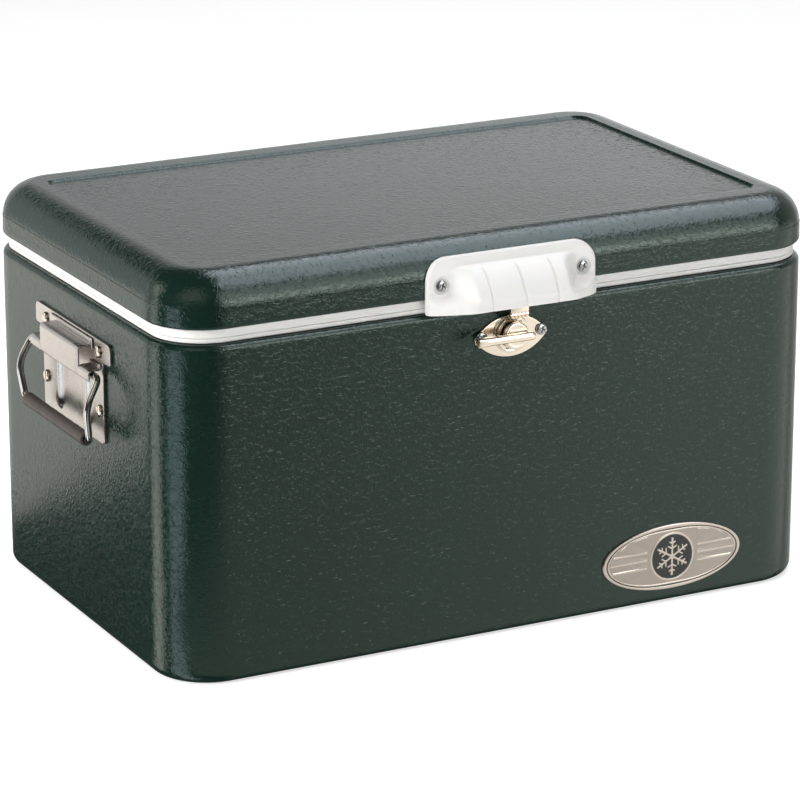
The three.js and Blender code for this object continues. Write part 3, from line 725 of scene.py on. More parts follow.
@dataclass(frozen=True)
class DippedVinyl(Finish):
    """Plasticised vinyl, extruded as a sleeve or cast as a seal.

    Rubbery and close to matte, with a low broad sheen and a slightly uneven skin.
    """

    colour: str = "#453d39"
    roughness: float = 0.46

    def shade(self, tree: bpy.types.NodeTree) -> bpy.types.Node:
        """Two sizes of noise: a fine skin, and slow rubbed patches.

        Args:
            tree: the node tree to build in.

        Returns:
            the finish's shader node.
        """
        place = add(tree, "ShaderNodeTexCoord", {}).outputs["Object"]
        skin = add(tree, "ShaderNodeTexNoise", {"Vector": place, "Scale": per_metre(0.8), "Detail": 4.0})
        bump = add(tree, "ShaderNodeBump", {
            "Height": skin.outputs["Fac"], "Strength": 0.25, "Distance": 0.04 * MM})
        rubbed = add(tree, "ShaderNodeTexNoise", {"Vector": place, "Scale": per_metre(18.0), "Detail": 3.0})
        gloss = add(tree, "ShaderNodeMapRange", {
            "Value": rubbed.outputs["Fac"], "To Min": self.roughness - 0.1, "To Max": self.roughness + 0.12})
        return add(tree, "ShaderNodeBsdfPrincipled", {
            "Base Color": linear(self.colour), "Roughness": gloss.outputs[0], "Normal": bump.outputs[0]})


@dataclass(frozen=True)
class StruckPewter(Finish):
    """Pewter-toned metal, die-struck and then filled with dark enamel in its low places.

    The high parts shine with fine horizontal brushing; the filled parts are glossy and black-green, and the
    field round the bars takes a little of that colour as painted shade.
    """

    colour: str = "#b7aea4"
    # The enamel's colour, also mixed thinly over the badge's field as painted shade.
    inlay_and_shade_colour: str = "#16201c"

    def shade(self, tree: bpy.types.NodeTree) -> bpy.types.Node:
        """The attribute says where the enamel is, and where painted shade darkens the field round the bars;
        the metal shows elsewhere.

        Args:
            tree: the node tree to build in.

        Returns:
            the finish's shader node.
        """
        place = add(tree, "ShaderNodeTexCoord", {}).outputs["Object"]
        inlay_and_shade = add(tree, "ShaderNodeAttribute", {}, attribute_name="inlay_and_shade").outputs["Fac"]
        brushed = add(tree, "ShaderNodeMapping", {"Vector": place, "Scale": (0.05, 1.0, 1.0)})
        lines = add(tree, "ShaderNodeTexNoise", {
            "Vector": brushed.outputs[0], "Scale": per_metre(0.4), "Detail": 4.0})
        bump = add(tree, "ShaderNodeBump", {
            "Height": lines.outputs["Fac"], "Strength": 0.2, "Distance": 0.012 * MM})
        tone = add(tree, "ShaderNodeMixRGB", {
            "Fac": inlay_and_shade, "Color1": linear(self.colour), "Color2": linear(self.inlay_and_shade_colour)})
        metal = add(tree, "ShaderNodeMapRange", {"Value": inlay_and_shade, "To Min": 1.0, "To Max": 0.0})
        gloss = add(tree, "ShaderNodeMapRange", {"Value": inlay_and_shade, "To Min": 0.3, "To Max": 0.12})
        return add(tree, "ShaderNodeBsdfPrincipled", {
            "Base Color": tone.outputs[0], "Metallic": metal.outputs[0], "Roughness": gloss.outputs[0],
            "Normal": bump.outputs[0]})


@dataclass(frozen=True)
class BlownFoam(Finish):
    """Polyurethane foam, blown in place between the walls: matte, straw-coloured and full of cells."""

    colour: str = "#e6dcb4"

    def shade(self, tree: bpy.types.NodeTree) -> bpy.types.Node:
        """Small cells make the skin.

        Args:
            tree: the node tree to build in.

        Returns:
            the finish's shader node.
        """
        place = add(tree, "ShaderNodeTexCoord", {}).outputs["Object"]
        cells = add(tree, "ShaderNodeTexVoronoi", {"Vector": place, "Scale": per_metre(1.5)})
        bump = add(tree, "ShaderNodeBump", {
            "Height": cells.outputs["Distance"], "Strength": 0.6, "Distance": 0.3 * MM})
        return add(tree, "ShaderNodeBsdfPrincipled", {
            "Base Color": linear(self.colour), "Roughness": 0.9, "Normal": bump.outputs[0]})


ENAMEL = PebbledEnamel("gloss_enamel_on_pebble_rolled_steel", "enamelled_steel")
PLASTIC = MouldedPlastic("white_moulded_polypropylene", "white_plastic")
NICKEL = PolishedPlate("nickel_plated_steel", "nickel_plate")
WIRE = PolishedPlate("bright_drawn_steel_wire", "nickel_plate", "#cdc8c2", 0.13)
ZINC = PolishedPlate("zinc_plated_steel", "nickel_plate", "#a3a4a3", 0.2)
STAINLESS = SatinSheet("satin_rolled_stainless", "stainless")
GRIP = DippedVinyl("dark_extruded_vinyl", "grip_vinyl")
SEAL = DippedVinyl("white_cast_vinyl", "seal_vinyl", "#dedcd4", 0.55)
PEWTER = StruckPewter("die_struck_pewter", "pewter_badge")
FOAM = BlownFoam("blown_polyurethane_foam", "foam")


def fit(piece: bpy.types.Object, finish: Finish, body: str, *nodes: str) -> bpy.types.Object:
    """Dresses a finished piece and fits it to the frame.

    Args:
        piece: the piece, in place.
        finish: its finish.
        body: the CAD body that it moves with.
        nodes: the CAD nodes that it stands for.

    Returns:
        The piece.
    """
    piece.data.materials.clear()
    piece.data.materials.append(finish.material())
    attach(piece, body)
    if nodes:
        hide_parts(*nodes)
    LOG.info("%-26s %6d faces, %s", piece.name, len(piece.data.polygons), finish.name)
    return piece


# ---- Sheet steel of the body and lid ----
def oil_canning(points: Array, depth: float) -> Array:
    """The slight waviness of big thin panels.

    Args:
        points: points on the panel.
        depth: the largest departure from flat, in millimetres.

    Returns:
        How far each point stands out: three crossed sine waves of 90 to 260 mm, summed.
    """
    x, y, z = points[..., 0], points[..., 1], points[..., 2]
    wave = np.sin((x + 0.6 * y) / 41.0 + 1.3) * np.sin(z / 33.0 + 0.4)
    wave += 0.6 * np.sin((y - 0.4 * x) / 27.0 + 2.1) * np.cos(z / 24.0)
    wave += 0.5 * np.sin((x - y) / 15.0 + z / 40.0)
    return depth * wave / 2.1


@dataclass
class BodyShell:
    """The body's steel skin, its base pan, the tub inside it and the foam between."""

    corner: float = 50.0
    sheet: float = 0.9
    top_edge: float = 5.0
    bottom_edge: float = 10.0
    hem: float = 8.0
    foot: float = 22.0
    waviness: float = 0.12
    tub_half: tuple[float, float] = (274.0, 167.0)
    tub_corner: float = 30.0
    tub_fillet: float = 10.0
    tub_draft: float = 7.0
    lip_roll: float = 3.0
    flange_corner: float = 45.0

    def skin(self) -> bpy.types.Object:
        """Carries the wall's section round the chest: hem, rolled top, wall, turned-in base.

        Returns:
            the finished piece, fitted to its body.
        """
        _, high = corners("outer_shell")
        top, t = high[2], self.sheet
        outside = np.vstack([
            [[self.hem, top]],
            arc((self.top_edge, top - self.top_edge), self.top_edge, 90, 180, 8),
            np.stack([np.zeros(44), np.linspace(top - self.top_edge - 3, self.bottom_edge + 3, 44)], axis=-1),
            arc((self.bottom_edge, self.bottom_edge), self.bottom_edge, 180, 270, 10),
            [[self.foot, 0.0]],
        ])
        inside = np.vstack([
            [[self.foot, t]],
            arc((self.bottom_edge, self.bottom_edge), self.bottom_edge - t, 270, 180, 6),
            arc((self.top_edge, top - self.top_edge), self.top_edge - t, 180, 90, 6),
            [[self.hem, top - t]],
        ])
        section = np.vstack([outside, inside])
        outline = Outline.drawn(22, 64, 42)
        inset, z = section[:, 0], section[:, 1]
        surface = outline.carried(high[0] - inset, high[1] - inset, self.corner - inset, z)
        share = ease((z - 12) / 60) * ease((top - 8 - z) / 60) * (inset < 0.01)
        push = oil_canning(surface, self.waviness) * share[None]
        surface[..., 0] += push * outline.out_x[:, None]
        surface[..., 1] += push * outline.out_y[:, None]
        piece = Sheetwork().grid(surface, True, True).made("body_skin")
        return fit(piece, ENAMEL, "chest", "outer_shell")

    def pan(self) -> bpy.types.Object:
        """The base pan, joggled up on to the hem, with four pressed stiffening beads.

        Returns:
            the finished piece, fitted to its body.
        """
        _, high = corners("base_pan")
        outline = Outline.drawn(10, 20, 14)
        shell_x, shell_y = corners("outer_shell")[1][:2]
        inset = np.array([100, 25, 24.2, 23.6, 23.2, 23.2, 22.9, 22.0, 14.0, 14.0, 23.0, 25.0, 100])
        z = np.array([0, 0, 0.1, 0.35, 0.8, 1.3, 1.45, 1.5, 1.5, 2.5, 2.5, 1.2, 1.2])
        radius = np.maximum(self.corner - inset, 4.0)
        surface = outline.carried(shell_x - inset, shell_y - inset, radius, z)
        work = Sheetwork().grid(surface, wrap_u=True, poles=([0, 0, 0], [0, 0, 1.2]))
        small = Outline.drawn(6, 2, 14)
        for x in (-180, -60, 60, 180):
            rise = np.array([0.02, 0.0, 0.5, 1.2, 1.6, 1.7])
            size = np.array([8.0, 7.0, 5.8, 4.4, 3.2, 2.2])
            bead = small.carried(size, size + 110, size - 0.1, np.minimum(rise, high[2]) + 1.1)
            work.grid(bead + np.array([x, 0, 0]), wrap_u=True, poles=([x, 0, 1.1], [x, 0, 2.8]))
        return fit(work.made("base_pan_pressing"), ENAMEL, "chest", "base_pan")

    def tub(self) -> bpy.types.Object:
        """The tub: floor, filleted and drafted walls, a rolled lip and the flange that shows as a band.

        Each ring is a rounded rectangle; its half size falls linearly with depth for the draft.

        Returns:
            the finished piece, fitted to its body.
        """
        _, high = corners("inner_liner")
        low = corners("inner_liner")[0][2]
        floor, lip, band = low + 2.5, high[2], corners("outer_shell")[1][2] + GAP
        half_x, half_y = self.tub_half
        fillet = arc((self.tub_fillet, floor + self.tub_fillet), self.tub_fillet, 270, 180, 8)
        wall_z = np.linspace(floor + 12, lip - 4, 24)
        inset = np.concatenate([[60.0, 14.0], fillet[:, 0], np.zeros(24)])
        z = np.concatenate([[floor, floor], fillet[:, 1], wall_z])
        inset = inset + self.tub_draft * (lip - z) / (lip - floor)
        roll = arc((-self.lip_roll, lip - self.lip_roll), self.lip_roll, 0, 90, 6)
        inset, z = np.concatenate([inset, roll[:, 0]]), np.concatenate([z, roll[:, 1]])
        r = np.maximum(self.tub_corner - inset, 6.0)
        inner = (half_x - inset, half_y - inset, r, z)
        out_x, out_y, out_r = high[0], high[1], self.flange_corner
        rim_inset = np.array([5.0, 0.5, 0.2, 0.05, 0.0, 0.0, 0.1, 0.4, 0.9, 1.6, 8.0, 18.0])
        rim_z = np.array([lip, lip, lip - 0.05, lip - 0.2, lip - 0.5, band + 1.6, band + 0.9, band + 0.4,
                          band + 0.1, band, band, band - 3.0])
        outer = (out_x - rim_inset, out_y - rim_inset, out_r - rim_inset, rim_z)
        back_inset = np.array([-2.5, 4.5, 60.0])
        back = (half_x - back_inset, half_y - back_inset,
                np.array([32.0, 24.0, 6.0]), np.array([band - 6.0, low, low]))
        sizes = [np.concatenate(parts) for parts in zip(inner, outer, back)]
        surface = Outline.drawn(18, 48, 32).carried(*sizes)
        piece = Sheetwork().grid(surface, wrap_u=True, poles=([0, 0, floor], [0, 0, low])).made("tub_liner")
        return fit(piece, PLASTIC, "chest", "inner_liner")

    def foam(self) -> None:
        """Dresses the foam cores, which the skins hide."""
        for node in ("body_foam", "lid_foam"):
            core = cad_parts[node]
            core.data.materials.clear()
            core.data.materials.append(FOAM.material())
            LOG.info("%-26s dressed", node)


@dataclass
class LidShell:
    """The lid: enamelled skin with its sunken panel, white liner, gasket."""

    corner: float = 50.0
    edge: float = 28.0
    sheet: float = 0.9
    rim_edge: float = 3.0
    hem: float = 8.0
    panel_x: float = 264.0
    panel_y: float = 150.0
    panel_corner: float = 13.0
    panel_depth: float = 2.0
    panel_slope: float = 2.4
    crown: float = 0.5
    draft: float = 0.55
    rim_corner: float = 45.0
    plug_corner: float = 51.0
    plug_inset: float = 24.0
    plug_edge: float = 5.0

    def skin(self) -> bpy.types.Object:
        """Rings step from the hem up the side, over the edge, across the rim and down to the panel.

        Returns:
            the finished piece, fitted to its body.
        """
        low, high = corners("lid_skin")
        z0, z1 = low[2], high[2]
        side = np.vstack([
            [[self.hem, z0]],
            arc((self.rim_edge, z0 + self.rim_edge), self.rim_edge, 270, 180, 6),
            [[0.0, z0 + 6.0], [0.15, z0 + 9.0], [self.draft * 0.5, z0 + 17.0]],
            arc((self.edge + self.draft, z1 - self.edge), self.edge, 180, 90, 24),
        ])
        inset, z = side[:, 0], side[:, 1]
        hx, hy, r = high[0] - inset, high[1] - inset, self.corner - inset
        # Across the flat rim the ring turns from the lid's outline to the panel's.
        t = np.array([0.08, 0.4, 0.85, 0.95, 1.0])
        rim = [a + (b - a) * t for a, b in
               ((hx[-1], self.panel_x), (hy[-1], self.panel_y), (r[-1], self.panel_corner))]
        # The panel's wall is an S-shaped step; inside it the floor rises a little to a crown.
        s = np.linspace(0.0, 1.0, 9)[1:]
        step_in, step_down = self.panel_slope * s, -self.panel_depth * ease(s)
        share = np.concatenate([[0.998, 0.994, 0.98], np.linspace(0.95, 0.04, 14)])
        fx, fy = (self.panel_x - self.panel_slope) * share, (self.panel_y - self.panel_slope) * share
        fr = np.maximum((self.panel_corner - self.panel_slope) * share, 0.3)
        fz = z1 - self.panel_depth + self.crown * (1 - share**2)
        inner = np.vstack([arc((self.edge, z1 - self.edge), self.edge - 1.6, 95, 180, 8),
                           arc((self.rim_edge, z0 + self.rim_edge), self.rim_edge - self.sheet, 180, 270, 4),
                           [[self.hem, z0 + self.sheet]]])
        # The underside runs one sheet below the panel and its wall.
        under = np.array([-self.panel_slope - self.sheet, 0.5])
        under_z = z1 - self.sheet - np.array([self.panel_depth, 0.0])
        sizes = [
            np.concatenate([hx, rim[0], self.panel_x - step_in, fx, self.panel_x + under,
                            high[0] - inner[:, 0]]),
            np.concatenate([hy, rim[1], self.panel_y - step_in, fy, self.panel_y + under,
                            high[1] - inner[:, 0]]),
            np.concatenate([r, rim[2], self.panel_corner - step_in, fr, self.panel_corner + under,
                            self.corner - inner[:, 0]]),
            np.concatenate([z, np.full(len(t), z1), z1 + step_down, fz, under_z, inner[:, 1]]),
        ]
        outline = Outline.drawn(22, 64, 42)
        top = len(hx) + len(t) + len(s) + len(share)
        surface = outline.carried(*sizes)
        crown = np.array([0.0, 0.0, z1 - self.panel_depth + self.crown])
        work = Sheetwork().grid(surface[:, :top], wrap_u=True, poles=(None, crown))
        inside = np.concatenate([surface[:, top:], surface[:, :1]], axis=1)
        work.grid(inside, wrap_u=True, poles=(crown - [0.0, 0.0, self.sheet], None))
        return fit(work.made("lid_steel_skin"), ENAMEL, "lid", "lid_skin")

    def liner(self) -> bpy.types.Object:
        """The liner: the rim that shows as the band, the channel for the gasket, and the dished plug.

        Returns:
            the finished piece, fitted to its body.
        """
        low, high = corners("lid_liner")
        top, rim_low, plug_low = high[2], corners("lid_gasket")[0][2] + 0.05, low[2]
        out_x, out_y = high[0], high[1]
        inset = np.array([60.0, 4.0, 1.0, 0.25, 0.0, 0.0, 0.03, 0.15, 0.4, 2.8, 3.4, 4.0, 4.0, 20.0, 23.0])
        z = np.concatenate([top - np.array([0.0, 0.0, 0.0, 0.3, 0.9]),
                            rim_low + np.array([0.5, 0.2, 0.05, 0.0, 0.0, 0.2, 0.8, 4.0, 4.0, 3.4])])
        radius = np.maximum(self.rim_corner - inset, 8.0)
        wall, edge = self.plug_inset, self.plug_edge
        plug = arc((wall + edge, plug_low + edge), edge, 180, 270, 8)
        dish = np.array([[wall + 9, plug_low], [wall + 20, plug_low], [wall + 21, plug_low + 0.2],
                         [wall + 23.5, plug_low + 2.2], [wall + 25, plug_low + 2.4],
                         [wall + 60, plug_low + 2.4], [wall + 61, plug_low + 2.2],
                         [wall + 63, plug_low + 0.8], [wall + 64.5, plug_low + 0.6],
                         [wall + 100, plug_low + 0.6]])
        inner = np.vstack([[[wall, rim_low + 2.0], [wall, plug_low + 9]], plug, dish])
        sizes = [np.concatenate([out_x - inset, out_x - inner[:, 0]]),
                 np.concatenate([out_y - inset, out_y - inner[:, 0]]),
                 np.concatenate([radius, np.maximum(self.plug_corner - inner[:, 0], 8.0)]),
                 np.concatenate([z, inner[:, 1]])]
        surface = Outline.drawn(18, 40, 28).carried(*sizes)
        poles = ([0, 0, top], [0, 0, plug_low + 0.6])
        piece = Sheetwork().grid(surface, wrap_u=True, poles=poles).made("lid_inner_panel")
        return fit(piece, PLASTIC, "lid", "lid_liner")

    def gasket(self) -> bpy.types.Object:
        """A hollow-looking bulb seal: a flattened circle carried round the lid, on a flat foot.

        Returns:
            the finished piece, fitted to its body.
        """
        low, high = corners("lid_gasket")
        bulb = arc((5.0, low[2] + 2.0), 2.0, -160, 160, 14)
        foot = np.array([[1.5, high[2] - 0.6], [1.0, high[2]], [9.0, high[2]], [8.5, high[2] - 0.6]])
        section = np.vstack([bulb[::-1] + [1.0, 0.0], foot])
        section[:, 1] = np.clip(section[:, 1], low[2], high[2])
        surface = Outline.drawn(10, 30, 20).carried(
            high[0] - section[:, 0], high[1] - section[:, 0], 37.0 - section[:, 0], section[:, 1])
        return fit(Sheetwork().grid(surface, True, True).made("lid_bulb_seal"), SEAL, "lid", "lid_gasket")


# ---- Fasteners ----
@dataclass
class ScrewHead:
    """A screw with a domed head, plain or with a cross recess."""

    radius: float
    rise: float
    cross: float = 0.0

    def on(self, work: Sheetwork, seat: float, y: float, z: float, turn: float = 0.0) -> None:
        """Adds the screw to a piece.

        The head is a polar grid: its height at radius r is a flattened dome, less a recess that
        deepens towards the middle within the two crossed slots.

        Args:
            work: the piece that takes the screw.
            seat: how far the underside of the head stands off the wall.
            y: where the screw sits along the wall.
            z: how high it sits.
            turn: how far the recess is turned, in degrees.
        """
        share = np.concatenate([np.linspace(0.03, 0.9, 26), 1 - 0.1 * np.array([0.8, 0.55, 0.3, 0.12, 0.0])])
        angle = np.linspace(0.0, 2 * math.pi, 72, endpoint=False)
        r, a = np.meshgrid(share, angle)
        height = 0.35 + 0.65 * np.sqrt(np.maximum(1 - r**2.6, 0.0))
        height = np.where(r >= 0.999, 0.3, height) * self.rise
        turned = a + math.radians(turn)
        u, v = np.abs(r * np.cos(turned)), np.abs(r * np.sin(turned))
        if self.cross > 0:
            def slot(along: Array, across: Array) -> Array:
                """1 inside one arm of the cross, falling to 0 at its sides and its end."""
                return ease((0.17 - across) / 0.05) * ease((0.62 - along) / 0.08)

            depth = np.maximum(slot(u, v), slot(v, u)) * (1.15 - r)
            height = height - self.cross * depth
        flat = [np.zeros_like(r[:, :1]) + 0.02, np.full_like(r[:, :1], -1.0)]
        x = np.hstack([seat + height, seat + flat[0], seat + flat[0], seat - 3.0 + flat[1] * 0])
        size = np.hstack([r, r[:, -1:], r[:, -1:] * 0 + 0.45, r[:, -1:] * 0 + 0.45]) * self.radius
        a2 = np.hstack([a, a[:, :1], a[:, :1], a[:, :1]])
        surface = np.stack([x, y + size * np.cos(a2), z + size * np.sin(a2)], axis=-1)
        crown = seat + height[0, 0]
        work.grid(surface, wrap_u=True, poles=(np.array([crown, y, z]), np.array([seat - 3.0, y, z])))


PAN_HEAD = ScrewHead(4.9, 2.4, 1.7)
DOME_HEAD = ScrewHead(5.2, 2.6)
HINGE_HEAD = ScrewHead(3.6, 1.8, 0.7)


def screw(name: str, wall: Wall, head: ScrewHead, finish: Finish, body: str, node: str, turn: float) -> None:
    """Makes one screw where its CAD node is.

    Args:
        name: the piece's name.
        wall: the wall that it is driven into.
        head: its head.
        finish: its finish.
        body: the CAD body that it holds on.
        node: the CAD node that it stands for.
        turn: how far its recess is turned, in degrees.
    """
    low, high = wall.local(node)
    y, z = (low[1] + high[1]) / 2, (low[2] + high[2]) / 2
    work = Sheetwork(wall)
    head.on(work, high[0] - head.rise, y, z, turn)
    fit(work.made(name, sharp=50), finish, body, node)


# ---- Lid handle ----
@dataclass
class LidPull:
    """The moulded handle on the lid's front: a flange that wraps the lid's edge and a hollow, bowed pull."""

    lid_edge: float = 28.0
    wrap: float = 37.0
    base: float = 4.0
    wall: float = 3.0
    corner: float = 20.0
    rounding: float = 2.6
    grooves: tuple[float, ...] = (-30.0, 0.0, 30.0)
    screw_at: float = 65.0

    def __post_init__(self) -> None:
        """Reads the handle's place and reach from the frame."""
        low, high = Wall.FRONT.local("lid_handle")
        self.half = float(high[1])
        self.bottom = float(low[2])
        self.reach = float(high[0])
        self.bend = float(corners("lid_skin")[1][2]) - self.lid_edge
        self.top = self.bend + self.lid_edge * math.radians(self.wrap)
        self.screw_z = float(np.mean([c[2] for c in corners("lid_handle_screw_left")]))

    def columns(self) -> Array:
        """Places along the wall: even in the middle, closer at the grooves and round the corners.

        Returns:
            the places, in millimetres from the middle.
        """
        flat = self.half - self.corner
        even = np.arange(-flat, flat + 0.1, 1.0)
        near = np.concatenate([g + np.array([-2.2, -1.5, -1.1, -0.75, -0.4, 0.4, 0.75, 1.1, 1.5, 2.2])
                               for g in self.grooves])
        turn = flat + self.corner * np.sin(np.radians(np.linspace(2, 90, 30)))
        screws = self.screw_at + np.arange(-8.0, 8.1, 0.5)
        screws = screws[screws < self.half - 2.0]
        every = np.concatenate([even, near, turn, -turn, screws, -screws])
        return np.unique(np.round(every, 2))

    def off_edge(self, s: Array, w: Array) -> Array:
        """How far a point lies inside the flange's outline, whose top corners are quarter circles.

        Args:
            s: places along the wall.
            w: heights on the flange.

        Returns:
            the distances in from the outline, in millimetres.
        """
        over = np.abs(s) - (self.half - self.corner)
        above = w - (self.top - self.corner)
        in_corner = (over > 0) & (above > 0)
        straight = np.minimum(self.half - np.abs(s), self.top - w)
        return np.where(in_corner, self.corner - np.hypot(np.maximum(over, 0), np.maximum(above, 0)),
                        straight)

    def relief(self, s: Array, w: Array) -> Array:
        """How far the pull bows out past the flange.

        The upper part is a quarter-oval in w, faded out on both sides between the pull's shoulder
        and the screws. The lip below is a band whose reach follows a superellipse along s. Blended,
        what they leave of the full reach is the product of what each of them leaves.

        Args:
            s: places along the wall.
            w: heights on the flange.

        Returns:
            how far out each point stands, in millimetres.
        """
        full = self.reach - self.base
        u = np.clip((w - 288.0) / 33.0, 0.0, 1.0)
        oval = np.maximum(1 - u**2, 0.0) ** 0.72 * ease((321.5 - w) / 2.2)
        upper = full * oval * (1 - ease((np.abs(s) - 40.0) / 19.0))
        bow = np.maximum(1 - (np.clip(np.abs(s) - 26.0, 0, None) / (self.half - 26.0)) ** 2.3, 0.0) ** 0.8
        lower = full * bow * ease((300.5 - w) / 7.5) * 0.985
        whole = full - (full - upper) * (full - lower) / full
        groove = sum(np.exp(-(((s - g) / 0.85) ** 2)) for g in self.grooves)
        return whole - 1.0 * groove * ease((320.5 - w) / 3.0) * ease((whole - 2.0) / 3.0)

    def thickness(self, s: Array, w: Array) -> Array:
        """The flange's thickness, rounded off at its outline and sunk round each screw.

        Args:
            s: places along the wall.
            w: heights on the flange.

        Returns:
            the thickness at each point, in millimetres.
        """
        inside = np.clip(self.off_edge(s, w) / self.rounding, 0.0, 1.0)
        flange = self.base * np.sqrt(np.maximum(1 - (1 - inside) ** 2, 0.0))
        for side in (-1, 1):
            away = np.hypot(s - side * self.screw_at, w - self.screw_z)
            flange = flange - 0.95 * ease((7.2 - away) / 0.9)
            flange = flange + 0.25 * np.exp(-(((away - 7.7) / 0.7) ** 2)) * (inside > 0.8)
        return np.maximum(flange, 0.0)

    def point(self, s: Array, w: Array, off: Array, out: Array) -> Array:
        """A point at developed height w: off the lid's surface along its normal, then straight out.

        Args:
            s: places along the wall.
            w: developed heights.
            off: distances off the lid along its normal.
            out: distances straight out.

        Returns:
            the points.
        """
        angle = np.clip((w - self.bend) / self.lid_edge, 0.0, None)
        x = -self.lid_edge + (self.lid_edge + GAP + off) * np.cos(angle) + out
        z = np.where(w > self.bend, self.bend, w) + (self.lid_edge + GAP + off) * np.sin(angle)
        return np.stack([x, s, z], axis=-1)

    def pull(self) -> bpy.types.Object:
        """Closes a section for each place along the wall: front, lip, hollow, back.

        Returns:
            the finished piece, fitted to its body.
        """
        s = self.columns()
        over = np.clip(np.abs(s) - (self.half - self.corner), 0.0, self.corner)
        top = self.top - (self.corner - np.sqrt(self.corner**2 - over**2))
        bow = self.relief(s, np.full_like(s, 292.0)) / (self.reach - self.base)
        bottom = self.bottom + 0.6 + 3.6 * np.clip(bow, 0.0, 1.0)
        down = np.concatenate([np.linspace(0, 0.12, 10)[:-1], np.linspace(0.12, 1.0, 84)])[None]
        w = top[:, None] + (bottom - top)[:, None] * down
        ss = np.broadcast_to(s[:, None], w.shape)
        front = self.point(ss, w, self.thickness(ss, w), self.relief(ss, w))
        # The lip rolls under by a half circle as wide as the wall.
        end = front[:, -1]
        room = np.clip(end[:, 0] - GAP, 0.02, self.wall)
        roll = np.radians(np.linspace(0.0, 180.0, 7))[None, 1:]
        lip_x = end[:, :1] - room[:, None] / 2 * (1 - np.cos(roll))
        lip_z = end[:, 2:] - room[:, None] * 0.38 * np.sin(roll)
        lip = np.stack([lip_x, np.broadcast_to(s[:, None], lip_x.shape), lip_z], axis=-1)
        ceiling = np.minimum(318.0, top - 2.0)
        up = np.linspace(0.0, 1.0, 24)[None]
        w2 = bottom[:, None] + 0.3 + (ceiling - bottom - 0.3)[:, None] * up
        s2 = np.broadcast_to(s[:, None], w2.shape)
        solid = self.thickness(s2, w2) + self.relief(s2, w2)
        hollow = np.where(solid > 2 * self.wall, solid - self.wall, 0.5 * solid)
        inner = self.point(s2, w2, np.zeros_like(w2), hollow)
        w3 = w2[:, ::-1]
        s3 = np.broadcast_to(s[:, None], w3.shape)
        solid3 = self.thickness(s3, w3) + self.relief(s3, w3)
        back_wall = self.point(s3, w3, np.zeros_like(w3), np.minimum(0.48 * solid3, self.wall - 0.3))
        w4 = bottom[:, None] + (top - bottom)[:, None] * np.linspace(0.0, 1.0, 16)[None]
        s4 = np.broadcast_to(s[:, None], w4.shape)
        back = self.point(s4, w4, np.zeros_like(w4), np.zeros_like(w4))
        surface = np.concatenate([front, lip, inner, back_wall, back], axis=1)
        piece = Sheetwork(Wall.FRONT).grid(surface, wrap_v=True).made("lid_pull_moulding", sharp=60)
        return fit(piece, PLASTIC, "lid", "lid_handle")


